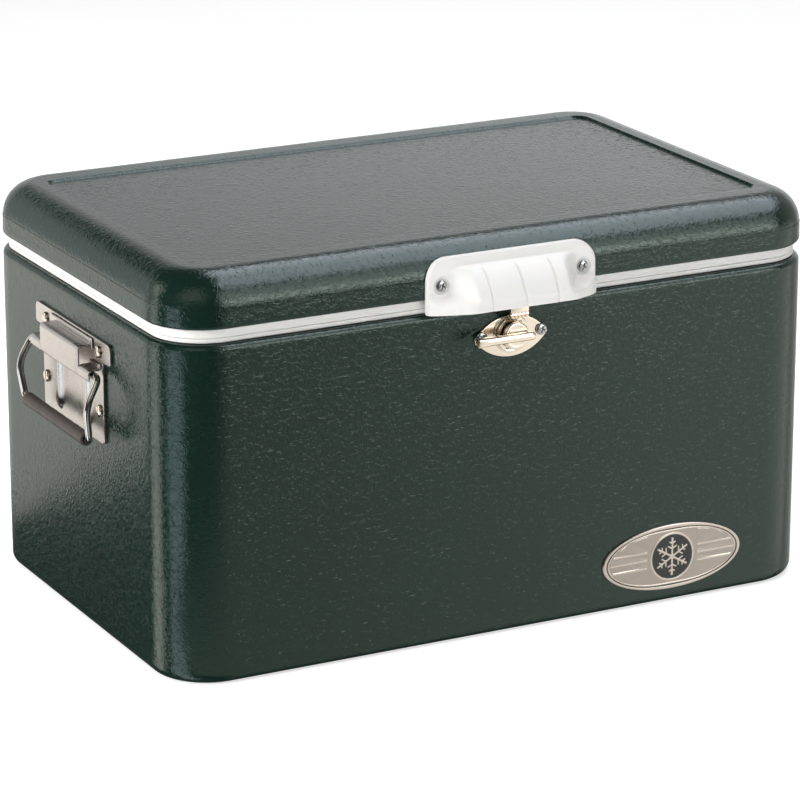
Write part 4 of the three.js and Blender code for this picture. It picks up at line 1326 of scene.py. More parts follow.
# ---- Latch ----
@dataclass
class TurnLatch:
    """The latch: eye-shaped plate, dished post, disc and T bar, and the keeper that hooks round the post."""

    keeper_half: float = 8.15
    keeper_sheet: float = 1.5
    knuckle: float = 2.7
    knuckle_x: float = 15.0
    knuckle_z: float = 278.6

    def __post_init__(self) -> None:
        """Reads the latch's centre and levels from the frame."""
        wall = Wall.FRONT
        self.plate_low, self.plate_high = wall.local("latch_plate")
        self.boss_low, self.boss_high = wall.local("latch_boss")
        self.knob_low, self.knob_high = wall.local("latch_knob")
        self.z = float(self.boss_low[2] + self.boss_high[2]) / 2

    def eye(self, half: float, rise: float, centre_z: float, blunt: float = 2.2) -> Array:
        """An eye-shaped outline: two equal arcs that would meet in points, with the points rounded.

        Args:
            half: half its length.
            rise: half its height.
            centre_z: the height of its middle.
            blunt: how far its points are cut back.

        Returns:
            the outline.
        """
        radius = (half**2 + rise**2) / (2 * rise)
        reach = math.degrees(math.asin((half - blunt) / radius))
        upper = arc((0, centre_z + rise - radius), radius, 90 - reach, 90 + reach, 28)
        lower = arc((0, centre_z - rise + radius), radius, 270 - reach, 270 + reach, 28)
        left, right = [[-half, centre_z]], [[half, centre_z]]
        return resampled(np.vstack([upper, left, lower, right, upper[:1]]), 1.2)[:-1]

    def back_plate(self) -> bpy.types.Object:
        """The eye-shaped plate with a raised dish round the post.

        Returns:
            the finished piece, fitted to its body.
        """
        low, high = self.plate_low, self.plate_high
        middle = (low[2] + high[2]) / 2
        outline = self.eye((high[1] - low[1]) / 2 + 0.6, (high[2] - low[2]) / 2, middle)
        work = Sheetwork(Wall.FRONT).plate(outline, (0, middle), low[0], high[0], 0.7)
        dish = np.array([[0, high[0]], [16.2, high[0] - 0.1], [16.0, high[0] + 0.8], [15.4, high[0] + 1.35],
                         [14.6, high[0] + 1.5], [13.6, high[0] + 1.3], [12.6, high[0] + 0.7],
                         [7.2, high[0] + 0.6],
                         [0, high[0] + 0.6]])
        work.turned(dish, (0, 0, self.z), sides=72)
        return fit(work.made("latch_eye_plate"), NICKEL, "chest", "latch_plate")

    def post(self) -> bpy.types.Object:
        """The hollow post that the handle turns in.

        Returns:
            the finished piece, fitted to its body.
        """
        low, high = self.boss_low, self.boss_high
        r = (high[2] - low[2]) / 2
        profile = np.array([[3.7, low[0]], [r, low[0]], [r, high[0] - 0.6], [r - 0.6, high[0]],
                            [3.7, high[0]]])
        work = Sheetwork(Wall.FRONT).turned(profile, (0, 0, self.z), sides=48)
        return fit(work.made("latch_post"), NICKEL, "chest", "latch_boss")

    def handle(self) -> bpy.types.Object:
        """The turning handle: a coined disc and a folded T bar with an open square end.

        The bar is a rounded-rectangle section carried along y; its size swells from the square open
        end to a full round one.

        Returns:
            the finished piece, fitted to its body.
        """
        low, high = self.knob_low, self.knob_high
        disc_r = (high[2] - low[2]) / 2
        front, z = high[0], self.z
        work = Sheetwork(Wall.FRONT)
        work.turned(np.array([[0, low[0]], [3.4, low[0]], [3.4, 8.6], [disc_r - 0.7, 8.6], [disc_r, 9.2],
                              [disc_r, 10.9], [disc_r - 0.5, 11.6], [disc_r - 1.6, 12.0],
                              [disc_r - 2.6, 11.8],
                              [7.0, 11.7], [0, 11.7]]), (0, 0, z), sides=72)
        section = Outline.drawn(8, 2, 2)
        depth, tall = (front - 12.2) / 2, 3.5
        middle = 12.2 + depth
        t = np.concatenate([[0.0, 0.0, 0.004, 0.012, 0.03], np.linspace(0.08, 0.9, 14),
                            [0.93, 0.96, 0.98, 0.993, 1.0]])
        y = low[1] + (high[1] - low[1]) * t
        end = np.sqrt(np.maximum(1 - np.clip((t - 0.93) / 0.07, 0, 1) ** 2, 0.02))
        open_end = 1 - 0.12 * np.exp(-((t / 0.012) ** 2))
        size = end * open_end
        corner = 0.9 + 2.2 * ease(t / 0.25)
        bar = section.carried(depth * size, tall * size, np.minimum(corner * size, 0.95 * depth * size), y)
        bar = np.stack([middle + bar[..., 0], bar[..., 2], z + bar[..., 1]], axis=-1)
        socket_y = low[1] + np.array([0.0, 0.2, 0.6, 9.0])
        socket_size = np.array([1.0, 0.86, 0.78, 0.76])
        socket = section.carried(2.5 * socket_size, 2.3 * socket_size, np.full(4, 0.5), socket_y)
        socket = np.stack([middle + socket[..., 0], socket[..., 2], z + socket[..., 1]], axis=-1)
        whole = np.concatenate([socket[:, ::-1], bar[:, 1:]], axis=1)
        poles = (np.array([middle, socket_y[-1], z]), np.array([middle, high[1], z]))
        work.grid(whole, wrap_u=True, poles=poles)
        return fit(work.made("latch_turn_handle", sharp=35), NICKEL, "latch", "latch_knob")

    def keeper(self) -> bpy.types.Object:
        """The keeper: a strap out of the lid handle, a knuckle joint, and the fork round the post.

        Returns:
            the finished piece, fitted to its body.
        """
        half, t = self.keeper_half, self.keeper_sheet / 2
        fork_x = 5.3
        strap = bent([[4.5, 309], [4.5, 295.5], [16.2, 290.5], [16.2, 280.2]], [0, 4.0, 4.0, 0])
        strap = resampled(strap, 0.8)
        work = Sheetwork(Wall.FRONT)
        work.strip(strap, thinned(len(strap), t), *edges(-half, half, 0.5))
        # Knuckles alternate between the strap and the hasp, with a hair's breadth between them.
        count, pitch = 5, 2 * half / 5
        ring = arc((self.knuckle_x, self.knuckle_z), self.knuckle - t, 20, 335, 18)
        for k in range(count):
            first = -half + k * pitch + 0.12
            work.strip(ring, thinned(len(ring), t), *edges(first, first + pitch - 0.24, 0.45))
        work.turned(np.array([[0, -half - 0.5], [0.9, -half - 0.5], [1.2, -half - 0.2], [1.2, half + 0.2],
                              [0.9, half + 0.5], [0, half + 0.5]]),
                    (self.knuckle_x, 0, self.knuckle_z), axis="y", sides=24)
        tongue = bent([[13.2, 276.6], [9.0, 275.4], [fork_x, 273.4], [fork_x, 268.0]], [0, 2.5, 2.0, 0])
        tongue = resampled(tongue, 0.7)
        work.strip(tongue, thinned(len(tongue), t), *edges(-half, half, 0.5))
        # The fork is a ring section carried round the post from one prong's end to the other's.
        turn = np.radians(np.linspace(-58.0, 238.0, 90))
        inner, outer = 7.4, 15.0
        across = np.array([[0.0, -t], [0.35, -t], [1.0, -t], [1.0, -t * 0.5], [1.0, t * 0.5], [0.97, t],
                           [0.6, t], [0.03, t], [0.0, t * 0.5], [0.0, -t * 0.5]])
        r = inner + (outer - inner) * across[:, 0]
        y = np.cos(turn)[:, None] * r
        z = self.z + np.sin(turn)[:, None] * r
        x = np.broadcast_to(fork_x + across[:, 1], y.shape)
        surface = np.stack([x, y, z], axis=-1)
        first = work.count
        work.grid(surface, wrap_v=True)
        for row in (0, len(turn) - 1):
            work.faces.append([first + row * len(across) + k for k in range(len(across))])
        return fit(work.made("keeper_hasp"), NICKEL, "lid", "keeper_strap")


# ---- Badge ----
@dataclass
class OvalBadge:
    """An oval plate with a raised rim, a struck snow crystal and plain bars."""

    rim: float = 3.0
    medallion: float = 21.0

    def crystal(self, y: Array, z: Array) -> Array:
        """A six-armed snow crystal: 1 on an arm or one of its twigs, 0 elsewhere.

        The plane is folded into one twelfth, where the arm lies along an axis and the twigs leave
        it at 60 degrees.

        Args:
            y: places along the wall, from its middle.
            z: heights, from its middle.

        Returns:
            the field, from 0 to 1.
        """
        angle = np.arctan2(z, y) + math.pi / 2
        radius = np.hypot(y, z)
        folded = np.abs((angle + math.pi / 6) % (math.pi / 3) - math.pi / 6)
        along, side = radius * np.cos(folded), radius * np.sin(folded)
        arm = ease((1.15 - side) / 0.5) * ease((17.0 - along) / 0.6)
        whole = arm
        for start, length in ((7.0, 5.2), (11.5, 3.6)):
            u, v = along - start, side
            run = u * 0.5 + v * 0.866
            off = np.abs(-u * 0.866 + v * 0.5)
            twig = ease((0.9 - off) / 0.5) * ease((length - run) / 0.5) * ease((run + 0.4) / 0.4)
            whole = np.maximum(whole, twig)
        return np.maximum(whole, ease((2.8 - radius) / 0.6))

    def plate(self) -> bpy.types.Object:
        """An elliptic grid whose height is the sum of the rim, the medallion, the crystal and the bars.

        Returns:
            the finished piece, fitted to its body.
        """
        low, high = Wall.FRONT.local("front_badge")
        centre = (low + high) / 2
        a, b = (high[1] - low[1]) / 2, (high[2] - low[2]) / 2
        share = np.concatenate([np.linspace(0.01, 0.88, 110), np.linspace(0.885, 1.0, 26)])
        angle = np.linspace(0.0, 2 * math.pi, 300, endpoint=False)
        rho, theta = np.meshgrid(share, angle)
        y, z = rho * a * np.cos(theta), rho * b * np.sin(theta)
        edge = (1 - rho) * np.sqrt((a * np.cos(theta)) ** 2 + (b * np.sin(theta)) ** 2)
        rounded = np.sqrt(np.maximum(1 - (1 - np.clip(edge / 1.1, 0, 1)) ** 2, 0.0))
        rim = 1.0 - ease((edge - self.rim) / 0.7)
        inner_line = ease((edge - 4.6) / 0.4) * (1 - ease((edge - 5.6) / 0.4))
        r = np.hypot(y, z)
        ring = ease((r - self.medallion + 1.6) / 0.4) * (1 - ease((r - self.medallion) / 0.4))
        disc = 1 - ease((r - self.medallion + 1.6) / 0.4)
        flake = self.crystal(y, z) * disc
        outside = np.clip((np.abs(y) - self.medallion - 3.0) / 1.0, 0, 1) * ease((edge - 6.5) / 1.0)
        bars = sum(ease((1.0 - np.abs(z - level)) / 0.4) for level in (-7.0, 0.0, 7.0)) * outside
        facet = 0.5 * np.abs(((theta * 12 / math.pi) % 2) - 1) * outside * (1 - np.clip(bars, 0, 1))
        field = 0.55 * rim + 0.35 * inner_line + 0.5 * ring + 0.55 * flake + 0.4 * bars + facet
        height = low[0] + (high[0] - low[0] - 0.75) * rounded + 0.75 * np.clip(field, 0, 1) * rounded
        inlay_and_shade = np.clip(disc * (1 - flake)
                        + ease((edge - self.rim - 0.2) / 0.3) * (1 - ease((edge - 4.4) / 0.3)), 0, 1)
        # The field outside the medallion takes a thin film of the inlay's dark colour as painted shade, so
        # that the bars, the ring and the rim stand out.
        painted_field_shade = (0.3 * ease((r - self.medallion - 0.2) / 0.4) * ease((edge - 5.8) / 0.4)
                 * (1 - np.clip(bars, 0, 1)))
        inlay_and_shade = np.maximum(inlay_and_shade, painted_field_shade)
        surface = np.stack([height, centre[1] + y, centre[2] + z], axis=-1)
        work = Sheetwork(Wall.FRONT)
        tip = np.array([height[0, 0], centre[1], centre[2]])
        work.grid(surface, wrap_u=True, poles=(tip, np.array([low[0], centre[1], centre[2]])), value=inlay_and_shade)
        return fit(work.made("oval_badge", attribute="inlay_and_shade"), PEWTER, "chest", "front_badge")


# ---- End brackets and bails ----
@dataclass
class EndHandle:
    """One end's handle: a ribbed plate, the hood over the pivot, the bail and its sleeve."""

    wall: Wall
    end: str
    rib_at: float = 29.0
    sheet: float = 1.5

    def plate(self) -> bpy.types.Object:
        """The T-shaped plate with two pressed ribs; each rib is a lozenge of shrinking, rising rings.

        Returns:
            the finished piece, fitted to its body.
        """
        low, high = self.wall.local(f"{self.end}_bracket_plate")
        front = float(low[0]) + 2.0
        top, bottom, wide = high[2], low[2], high[1]
        step, narrow = 241.0, 62.5
        tee = [[narrow, bottom], [narrow, step], [wide, step], [wide, top], [-wide, top], [-wide, step],
               [-narrow, step], [-narrow, bottom]]
        outline = resampled(bent(tee, [5, 2.2, 2.5, 6, 6, 2.5, 2.2, 5], closed=True), 1.5)
        work = Sheetwork(self.wall).plate(outline, (0, 246.5), low[0], front, 0.6)
        rings = Outline.drawn(8, 2, 12)
        size = np.array([7.6, 7.1, 6.8, 5.2, 3.7, 3.2, 2.6, 1.4])
        rise = np.array([-0.6, -0.02, 0.12, 1.3, 2.4, 2.62, 2.7, 2.7])
        for y in (-self.rib_at, self.rib_at):
            rib = rings.carried(size, size + 17.5, size - 0.05, front + rise)
            rib = np.stack([rib[..., 2], y + rib[..., 0], 201.5 + rib[..., 1]], axis=-1)
            tips = (np.array([front - 0.6, y, 201.5]), np.array([front + 2.7, y, 201.5]))
            work.grid(rib, wrap_u=True, poles=tips)
        return fit(work.made(f"{self.end}_backing_plate"), STAINLESS, "chest", f"{self.end}_bracket_plate")

    def hood(self) -> bpy.types.Object:
        """The hood: folded sheet carried along the wall, tall in the middle, with a low ear on each side.

        Returns:
            the finished piece, fitted to its body.
        """
        low, high = self.wall.local(f"{self.end}_bracket_hood")
        back, front, bottom, top = low[0] + 0.75, high[0] - 0.75, low[2], high[2]
        roof, ear_roof, half, ear = 249.75, 234.75, 40.0, float(high[1])
        tall = bent([[back, top], [back, roof], [front, roof], [front, bottom]], [0, 1.6, 3.2, 0], steps=7)
        short = bent([[back, ear_roof + 4.0], [back + 0.2, ear_roof], [front, ear_roof], [front, bottom]],
                     [0, 1.6, 3.2, 0], steps=7)
        tall, short = resampled(tall, 0.7), resampled(short, 0.7)
        work = Sheetwork(self.wall)
        work.strip(tall, thinned(len(tall), self.sheet / 2), *edges(-half, half, 0.6, 6))
        for side in (-1, 1):
            ends = sorted([side * (half - 0.7), side * ear])
            work.strip(short, thinned(len(short), self.sheet / 2), *edges(*ends, 0.6, 3))
        flange = np.array([[back, top - 9.0], [back, top - 4.0], [back, top]])
        work.strip(flange, thinned(3, self.sheet / 2), *edges(-half - 4, half + 4, 0.6, 3))
        return fit(work.made(f"{self.end}_pivot_hood", sharp=35), STAINLESS, "chest",
                   f"{self.end}_bracket_hood")

    def bail(self) -> bpy.types.Object:
        """The bail: a round wire bent through its pivot ends, elbows and grip corners.

        Returns:
            the finished piece, fitted to its body.
        """
        low, high = self.wall.local(f"{self.end}_bail_wire")
        grip_low, grip_high = self.wall.local(f"{self.end}_bail_grip")
        radius = 3.0
        pivot_x, pivot_z = low[0] + radius, high[2] - radius
        grip_x, grip_z = (grip_low[0] + grip_high[0]) / 2, (grip_low[2] + grip_high[2]) / 2
        half = [[pivot_x, 50, pivot_z], [pivot_x, 69.5, pivot_z], [21.6, 71.5, 208], [grip_x, 67.5, grip_z]]
        whole = half + [[x, -y, z] for x, y, z in reversed(half)]
        path = resampled(bent(whole, [0, 6.5, 11, 6.0, 6.0, 11, 6.5, 0], steps=10), 1.6)
        work = Sheetwork(self.wall).tube(path, radius, 24)
        return fit(work.made(f"{self.end}_bail"), WIRE, f"{self.end}_bail", f"{self.end}_bail_wire")

    def sleeve(self) -> bpy.types.Object:
        """The grip: a vinyl sleeve, its ends drawn in to rolled lips and its middle a little worn down.

        Returns:
            the finished piece, fitted to its body.
        """
        low, high = self.wall.local(f"{self.end}_bail_grip")
        half, r = float(high[1]), float(high[2] - low[2]) / 2
        t = np.linspace(-1.0, 1.0, 60)
        body_r = r - 0.25 * (1 - t**2) + 0.08 * np.sin(t * 23.0)
        body = np.stack([body_r, t * (half - 1.2)], axis=-1)
        lip = np.array([[r - 0.15, half - 0.6], [r - 0.7, half - 0.1], [r - 1.5, half], [3.5, half],
                        [3.3, half - 1.0]])
        profile = np.vstack([(lip * [1, -1])[::-1], body, lip])
        centre = ((low[0] + high[0]) / 2, 0, (low[2] + high[2]) / 2)
        work = Sheetwork(self.wall).turned(profile, centre, axis="y", sides=40)
        return fit(work.made(f"{self.end}_bail_sleeve"), GRIP, f"{self.end}_bail", f"{self.end}_bail_grip")

    def build(self) -> None:
        """Builds the end's pieces in order."""
        self.plate()
        self.hood()
        for k in range(1, 5):
            screw(f"{self.end}_plate_screw_{k}", self.wall, DOME_HEAD, NICKEL, "chest",
                  f"{self.end}_bracket_screw_{k}", 0.0)
        self.bail()
        self.sleeve()


# ---- Rear hinges ----
@dataclass
class RearHinge:
    """A butt hinge on the rear wall: two leaves with curled knuckles, a pin and four screws."""

    side: str
    sheet: float = 1.5

    def leaf(self, part: str, body: str, knuckles: Sequence[tuple[float, float]]) -> bpy.types.Object:
        """One leaf: a flat plate, and a strip for each knuckle that leaves it and curls round the pin.

        Args:
            part: body or lid.
            body: the CAD body that the leaf rides on.
            knuckles: where the knuckles start and end along the leaf.

        Returns:
            The leaf.
        """
        node = f"{self.side}_hinge_{part}_leaf"
        low, high = Wall.REAR.local(node)
        pin_low, pin_high = Wall.REAR.local(f"{self.side}_hinge_pin")
        x, z = (pin_low[0] + pin_high[0]) / 2, (pin_low[2] + pin_high[2]) / 2
        centre = (low[1] + high[1]) / 2
        mid, t = low[0] + 0.75, self.sheet / 2
        down = part == "body"
        far, near = (low[2], z - 5.0) if down else (high[2], z + 5.0)
        work = Sheetwork(Wall.REAR)
        flat = np.stack([np.full(12, mid), np.linspace(far, near, 12)], axis=-1)
        work.strip(flat, thinned(12, t), *edges(low[1], high[1], 0.6, 4))
        sweep = (180, 500) if down else (180, -140)
        curl = arc((x, z), x - mid, *sweep, 26)
        path = np.vstack([[[mid, near], [mid, near + (2.5 if down else -2.5)]], curl])
        for first, last in knuckles:
            work.strip(path, thinned(len(path), t), *edges(centre + first, centre + last, 0.4))
        return fit(work.made(f"{self.side}_{part}_hinge_leaf", sharp=35), STAINLESS, body, node)

    def pin(self) -> bpy.types.Object:
        """The pin, with a small dome at each end.

        Returns:
            the finished piece, fitted to its body.
        """
        low, high = Wall.REAR.local(f"{self.side}_hinge_pin")
        r = (high[0] - low[0]) / 2
        y = (low[1] + high[1]) / 2
        half = (high[1] - low[1]) / 2
        profile = np.array([[0, -half], [r * 0.6, -half], [r, -half + 0.6], [r, half - 0.6],
                            [r * 0.6, half], [0, half]])
        centre = ((low[0] + high[0]) / 2, y, (low[2] + high[2]) / 2)
        work = Sheetwork(Wall.REAR).turned(profile, centre, axis="y", sides=28)
        return fit(work.made(f"{self.side}_hinge_pintle"), STAINLESS, "chest", f"{self.side}_hinge_pin")

    def build(self) -> None:
        """Builds the hinge's pieces in order."""
        self.leaf("body", "chest", [(-30.0, -11.0), (11.0, 30.0)])
        self.leaf("lid", "lid", [(-10.6, 10.6)])
        self.pin()
        for row, body in (("body", "chest"), ("lid", "lid")):
            for k in (1, 2):
                screw(f"{self.side}_{row}_leaf_screw_{k}", Wall.REAR, HINGE_HEAD, STAINLESS, body,
                      f"{self.side}_hinge_{row}_screw_{k}", 20.0 * k)


# ---- Drain ----
@dataclass
class Drain:
    """The drain on the right end: a flanged spout, a nut in the tub, a washer and a ribbed screw cap."""

    ribs: int = 16

    def centre(self) -> tuple[float, float]:
        """Where the drain's axis passes, along the wall and up it."""
        low, high = Wall.RIGHT.local("drain_spout")
        return float(low[1] + high[1]) / 2, float(low[2] + high[2]) / 2

    def spout(self) -> bpy.types.Object:
        """The spout: a tube through the wall, a bevelled flange and a threaded neck.

        Returns:
            the finished piece, fitted to its body.
        """
        low, high = Wall.RIGHT.local("drain_spout")
        y, z = self.centre()
        neck = np.array([[9.5 - 0.5 * (k % 2), 4.0 + 1.5 * k] for k in range(7)])
        profile = np.vstack([[[6.0, low[0]], [10.2, low[0]], [11.0, low[0] + 0.8], [11.0, GAP], [17.0, GAP],
                              [17.2, 1.6], [16.6, 2.6], [15.6, 3.2], [10.5, 3.4]], neck,
                              [[9.0, high[0]], [6.0, high[0]]]])
        work = Sheetwork(Wall.RIGHT).turned(profile, (0, y, z), sides=64)
        return fit(work.made("drain_tube"), PLASTIC, "chest", "drain_spout")

    def nut(self) -> bpy.types.Object:
        """The nut: rings that turn from a hexagon at its outside to a circle at its bore.

        Returns:
            the finished piece, fitted to its body.
        """
        low, high = Wall.RIGHT.local("drain_nut")
        y, z = self.centre()
        angle = np.radians(np.arange(0, 360, 5.0))
        hexagon = math.cos(math.pi / 6) / np.cos((angle + math.pi / 6) % (math.pi / 3) - math.pi / 6)
        size = np.array([14.0, 14.5, 14.5, 13.9, 11.4, 11.4])
        share = np.array([1.0, 1.0, 1.0, 1.0, 0.0, 0.0])
        rise = np.array([low[0], low[0] + 0.5, high[0] - 0.5, high[0], high[0], low[0]])
        r = size[None] * (1 - share[None] * (1 - hexagon[:, None]))
        surface = np.stack([np.broadcast_to(rise, r.shape), y + r * np.cos(angle)[:, None],
                            z + r * np.sin(angle)[:, None]], axis=-1)
        work = Sheetwork(Wall.RIGHT).grid(surface, True, True)
        return fit(work.made("drain_lock_nut"), PLASTIC, "chest", "drain_nut")

    def washer(self) -> bpy.types.Object:
        """The sealing washer inside the cap.

        Returns:
            the finished piece, fitted to its body.
        """
        low, high = Wall.RIGHT.local("drain_washer")
        y, z = self.centre()
        profile = np.array([[2.5, low[0]], [9.1, low[0]], [9.3, low[0] + 0.4], [9.3, high[0] - 0.4],
                            [9.1, high[0]],
                            [2.5, high[0]]])
        work = Sheetwork(Wall.RIGHT).turned(profile, (0, y, z), sides=40)
        return fit(work.made("drain_seal_washer"), GRIP, "drain_seal", "drain_washer")

    def cap(self) -> bpy.types.Object:
        """The cap: a cup whose side ripples into grip ribs, with a dished face.

        Returns:
            the finished piece, fitted to its body.
        """
        low, high = Wall.RIGHT.local("drain_cap")
        y, z = self.centre()
        r = (high[2] - low[2]) / 2 - 0.5
        deep = high[0] - 2.4
        cup = np.array([[0, deep], [9.9, deep], [9.9, low[0] + 0.4], [10.3, low[0]], [r - 0.6, low[0]]])
        face = np.array([[r - 0.9, high[0] - 0.5], [r - 1.8, high[0]], [r - 3.4, high[0]],
                         [r - 4.2, high[0] - 0.5],
                         [r - 5.0, high[0] - 0.7], [0, high[0] - 0.7]])
        work = Sheetwork(Wall.RIGHT)
        work.turned(np.vstack([cup, face]), (0, y, z), sides=128)
        skirt = np.array([[r - 1.5, low[0] + 0.3], [r, low[0] + 0.6], [r, high[0] - 1.6],
                          [r - 0.8, high[0] - 0.7],
                          [r - 2.0, high[0] - 0.6]])
        work.turned(skirt, (0, y, z), sides=256, ripple=lambda a: 1 + 0.03 * np.cos(self.ribs * a))
        return fit(work.made("drain_screw_cap"), PLASTIC, "drain_closure", "drain_cap")

    def build(self) -> None:
        """Builds the drain's pieces in order."""
        self.spout()
        self.nut()
        self.washer()
        self.cap()


# ---- Studio ----
@dataclass(frozen=True)
class Glow:
    """A patch of the surround: where it lies, how soft its edges are and how bright it is.

    Bearings run from the chest's front towards its left end, and heights from the horizon, in
    degrees.
    """

    bearing: tuple[float, float]
    height: tuple[float, float]
    strength: float
    colour: str
    soft: float = 6.0

    def shade(self, tree: bpy.types.NodeTree, turn: bpy.types.NodeSocket,
              rise: bpy.types.NodeSocket) -> bpy.types.Node:
        """The product of four smooth steps, one at each edge of the patch, times its colour.

        Args:
            tree: the world's node tree.
            turn: the bearing of a direction.
            rise: its elevation.

        Returns:
            the shader of its light.
        """
        share = None
        for value, (low, high) in ((turn, self.bearing), (rise, self.height)):
            for edge, way in ((low, 1), (high, -1)):
                a, b = math.radians(edge - way * self.soft / 2), math.radians(edge + way * self.soft / 2)
                step = add(tree, "ShaderNodeMapRange", {"Value": value, "From Min": a, "From Max": b},
                           interpolation_type="SMOOTHSTEP").outputs[0]
                if share is not None:
                    step = add(tree, "ShaderNodeMath", {0: step, 1: share}, operation="MULTIPLY").outputs[0]
                share = step
        power = add(tree, "ShaderNodeMath", {0: share, 1: self.strength}, operation="MULTIPLY")
        return add(tree, "ShaderNodeBackground", {"Color": linear(self.colour), "Strength": power.outputs[0]})


@dataclass
class Studio:
    """A pale floor, a soft surround of light and dark patches, soft boxes, cards and the camera."""

    azimuth: float = -27.51
    elevation: float = 17.45
    distance: float = 3.3609
    lens: float = 175.9
    target: tuple[float, float, float] = (0.0002, 0.0, 0.1484)
    base: float = 0.06
    glows: tuple[Glow, ...] = (
        Glow((64.0, 96.0), (-75.0, -11.0), 2.4, "#dfeaf5", 5.0),
        Glow((114.0, 140.0), (-32.0, 34.0), 2.3, "#fffaf0", 6.0),
        Glow((-44.0, -10.0), (-13.0, 40.0), 2.6, "#f6f8fa", 14.0),
        Glow((-42.0, -13.0), (0.0, 11.0), 3.6, "#fdf8f4", 7.0),
        Glow((-150.0, -30.0), (43.0, 71.0), 5.4, "#e4e6f4", 8.0),
        Glow((-80.0, -35.0), (-60.0, -4.0), 0.9, "#f4f8f2", 24.0),
        Glow((20.0, 70.0), (12.0, 55.0), 0.8, "#fff8f0", 20.0),
        Glow((-170.0, -60.0), (-30.0, 38.0), 0.55, "#f8f8f4", 24.0),
    )

    def plane(self, name: str, points: Sequence[Sequence[float]],
              material: bpy.types.Material) -> bpy.types.Object:
        """Makes a flat four-cornered card.

        Args:
            name: the card's name.
            points: its four corners, in metres.
            material: its material.

        Returns:
            the card.
        """
        mesh = bpy.data.meshes.new(name)
        mesh.from_pydata([tuple(p) for p in points], [], [(0, 1, 2, 3)])
        mesh.materials.append(material)
        card = bpy.data.objects.new(name, mesh)
        bpy.context.scene.collection.objects.link(card)
        return card

    def floor(self) -> None:
        """A wide matte floor, left out of reflections so that the cards set those."""
        size = 14.0
        paper = bpy.data.materials.new("matte_white_paper")
        paper.use_nodes = True
        shader = paper.node_tree.nodes["Principled BSDF"]
        shader.inputs["Base Color"].default_value = linear("#f7f7f7")
        shader.inputs["Roughness"].default_value = 0.95
        shader.inputs["Specular IOR Level"].default_value = 0.1
        shader.inputs["Emission Color"].default_value = linear("#ffffff")
        shader.inputs["Emission Strength"].default_value = 0.66
        square = [(-size, -size, 0), (size, -size, 0), (size, size, 0), (-size, size, 0)]
        floor = self.plane("studio_floor", square, paper)
        floor.visible_glossy = False

    def card(
        self, name: str, points: Sequence[Sequence[float]], way: Sequence[float], span: tuple[float, float],
        power: tuple[float, float], colour: str = "#ffffff",
    ) -> None:
        """Adds a glowing card that shows only in reflections.

        Args:
            name: the card's name.
            points: its four corners, in metres.
            way: the direction along which its light changes.
            span: where along that direction the change starts and ends, in metres.
            power: its light at the start and at the end.
            colour: the light's colour.
        """
        glow = bpy.data.materials.new(name + "_light")
        glow.use_nodes = True
        tree = glow.node_tree
        tree.nodes.clear()
        place = add(tree, "ShaderNodeTexCoord", {}).outputs["Object"]
        run = add(tree, "ShaderNodeVectorMath", {0: place, 1: tuple(way)}, operation="DOT_PRODUCT")
        level = add(tree, "ShaderNodeMapRange", {
            "Value": run.outputs["Value"], "From Min": span[0], "From Max": span[1], "To Min": power[0],
            "To Max": power[1]})
        lit = add(tree, "ShaderNodeEmission", {"Color": linear(colour), "Strength": level.outputs[0]})
        add(tree, "ShaderNodeOutputMaterial", {"Surface": lit.outputs[0]})
        card = self.plane(name, points, glow)
        card.visible_camera = card.visible_diffuse = card.visible_shadow = False

    def cards(self) -> None:
        """The cards: one lies in front, one behind to the left, and one stands behind."""
        self.card("front_card", [(-0.52, -2.6, 0.0), (3.4, -2.6, 0.0), (3.4, -0.2, 0.0), (-0.52, -0.2, 0.0)],
                  (0.887, 0.462, 0.0), (-0.74, 0.22), (0.0, 1.5), "#fdfaf6")
        self.card("left_card", [(-0.33, 0.25, 0.0), (-0.60, 0.449, 0.0), (-2.9, 3.2, 0.0), (-0.6, 3.2, 0.0)],
                  (0.0, 1.0, 0.0), (0.2, 1.2), (0.98, 1.3), "#fffcf6")
        self.card("rear_card", [(-2.6, 1.5, -0.4), (3.2, 1.5, -0.4), (3.2, 1.5, 0.96), (-2.6, 1.5, 0.96)],
                  (1.0, 0.0, 0.0), (0.3, 1.2), (0.76, 1.1), "#f8fafc")

    def surround(self) -> None:
        """The world: a dim even level and the glows added to it, seen in reflections only."""
        world = bpy.data.worlds.new("soft_surround")
        world.use_nodes = True
        tree = world.node_tree
        tree.nodes.clear()
        way = add(tree, "ShaderNodeTexCoord", {}).outputs["Generated"]
        parts = add(tree, "ShaderNodeSeparateXYZ", {"Vector": way})
        left = add(tree, "ShaderNodeMath", {0: parts.outputs["X"], 1: -1.0}, operation="MULTIPLY")
        front = add(tree, "ShaderNodeMath", {0: parts.outputs["Y"], 1: -1.0}, operation="MULTIPLY")
        turn = add(tree, "ShaderNodeMath", {0: left.outputs[0], 1: front.outputs[0]},
                   operation="ARCTAN2").outputs[0]
        rise = add(tree, "ShaderNodeMath", {0: parts.outputs["Z"]}, operation="ARCSINE").outputs[0]
        total = add(tree, "ShaderNodeBackground",
                    {"Color": linear("#eef2f2"), "Strength": self.base}).outputs[0]
        for glow in self.glows:
            patch = glow.shade(tree, turn, rise)
            total = add(tree, "ShaderNodeAddShader", {0: total, 1: patch.outputs[0]}).outputs[0]
        add(tree, "ShaderNodeOutputWorld", {"Surface": total})
        bpy.context.scene.world = world
        world.cycles_visibility.diffuse = False

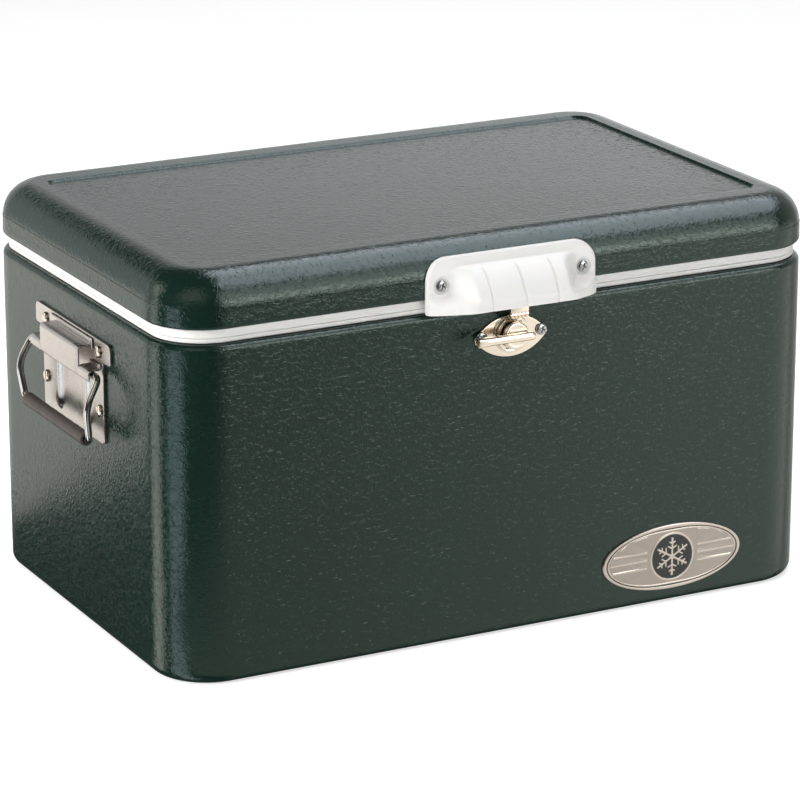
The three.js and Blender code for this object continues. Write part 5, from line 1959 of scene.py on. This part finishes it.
    def light(self, name: str, place: Sequence[float], size: Sequence[float], power: float,
              aim: Sequence[float]) -> None:
        """Adds a soft box that lights the scene but doesn't show in reflections.

        Args:
            name: the light's name.
            place: where it hangs, in metres.
            size: its width and height, in metres.
            power: its power in watts.
            aim: the point that it faces.
        """
        lamp = bpy.data.lights.new(name, "AREA")
        lamp.shape = "RECTANGLE"
        lamp.size, lamp.size_y = size
        lamp.energy = power
        box = bpy.data.objects.new(name, lamp)
        bpy.context.scene.collection.objects.link(box)
        box.location = place
        way = np.array(aim, float) - np.array(place, float)
        box.rotation_euler = Vector(way.tolist()).to_track_quat("-Z", "Y").to_euler()
        box.visible_glossy = False

    def camera(self) -> None:
        """Places the camera on its bearing round the chest."""
        a, e = math.radians(self.azimuth), math.radians(self.elevation)
        back = np.array([math.sin(a) * math.cos(e), -math.cos(a) * math.cos(e), math.sin(e)])
        view = bpy.data.cameras.new("camera")
        view.lens = self.lens
        view.sensor_width = 36.0
        view.clip_end = 60.0
        seat = bpy.data.objects.new("camera", view)
        bpy.context.scene.collection.objects.link(seat)
        seat.location = (np.array(self.target) + back * self.distance).tolist()
        seat.rotation_euler = Vector((-back).tolist()).to_track_quat("-Z", "Y").to_euler()
        bpy.context.scene.camera = seat

    def build(self) -> None:
        """Sets the stage."""
        self.floor()
        self.cards()
        self.surround()
        self.light("overhead_box", (0.0, -0.2, 2.6), (3.6, 3.0), 64.0, (0, 0, 0.2))
        self.light("left_box", (-2.6, -0.2, 1.0), (1.6, 1.6), 50.0, (0, 0, 0.15))
        self.light("front_box", (0.6, -3.0, 1.2), (2.4, 1.4), 10.0, (0, 0, 0.2))
        self.camera()
        bpy.context.scene.view_settings.view_transform = "Standard"


def main() -> None:
    """Builds the chest's sub-assemblies in order, then the stage."""
    logging.basicConfig(level=logging.INFO, format="%(name)s: %(message)s")
    body = BodyShell()
    body.skin()
    body.pan()
    body.tub()
    body.foam()
    lid = LidShell()
    lid.skin()
    lid.liner()
    lid.gasket()
    LidPull().pull()
    for side in ("left", "right"):
        screw(f"pull_screw_{side}", Wall.FRONT, PAN_HEAD, ZINC, "lid", f"lid_handle_screw_{side}", 25.0)
        screw(f"eye_plate_screw_{side}", Wall.FRONT, PAN_HEAD, ZINC, "chest", f"latch_screw_{side}", 20.0)
    latch = TurnLatch()
    latch.back_plate()
    latch.post()
    latch.handle()
    latch.keeper()
    OvalBadge().plate()
    EndHandle(Wall.LEFT, "left").build()
    EndHandle(Wall.RIGHT, "right").build()
    RearHinge("left").build()
    RearHinge("right").build()
    Drain().build()
    Studio().build()


if __name__ == "__main__":
    main()
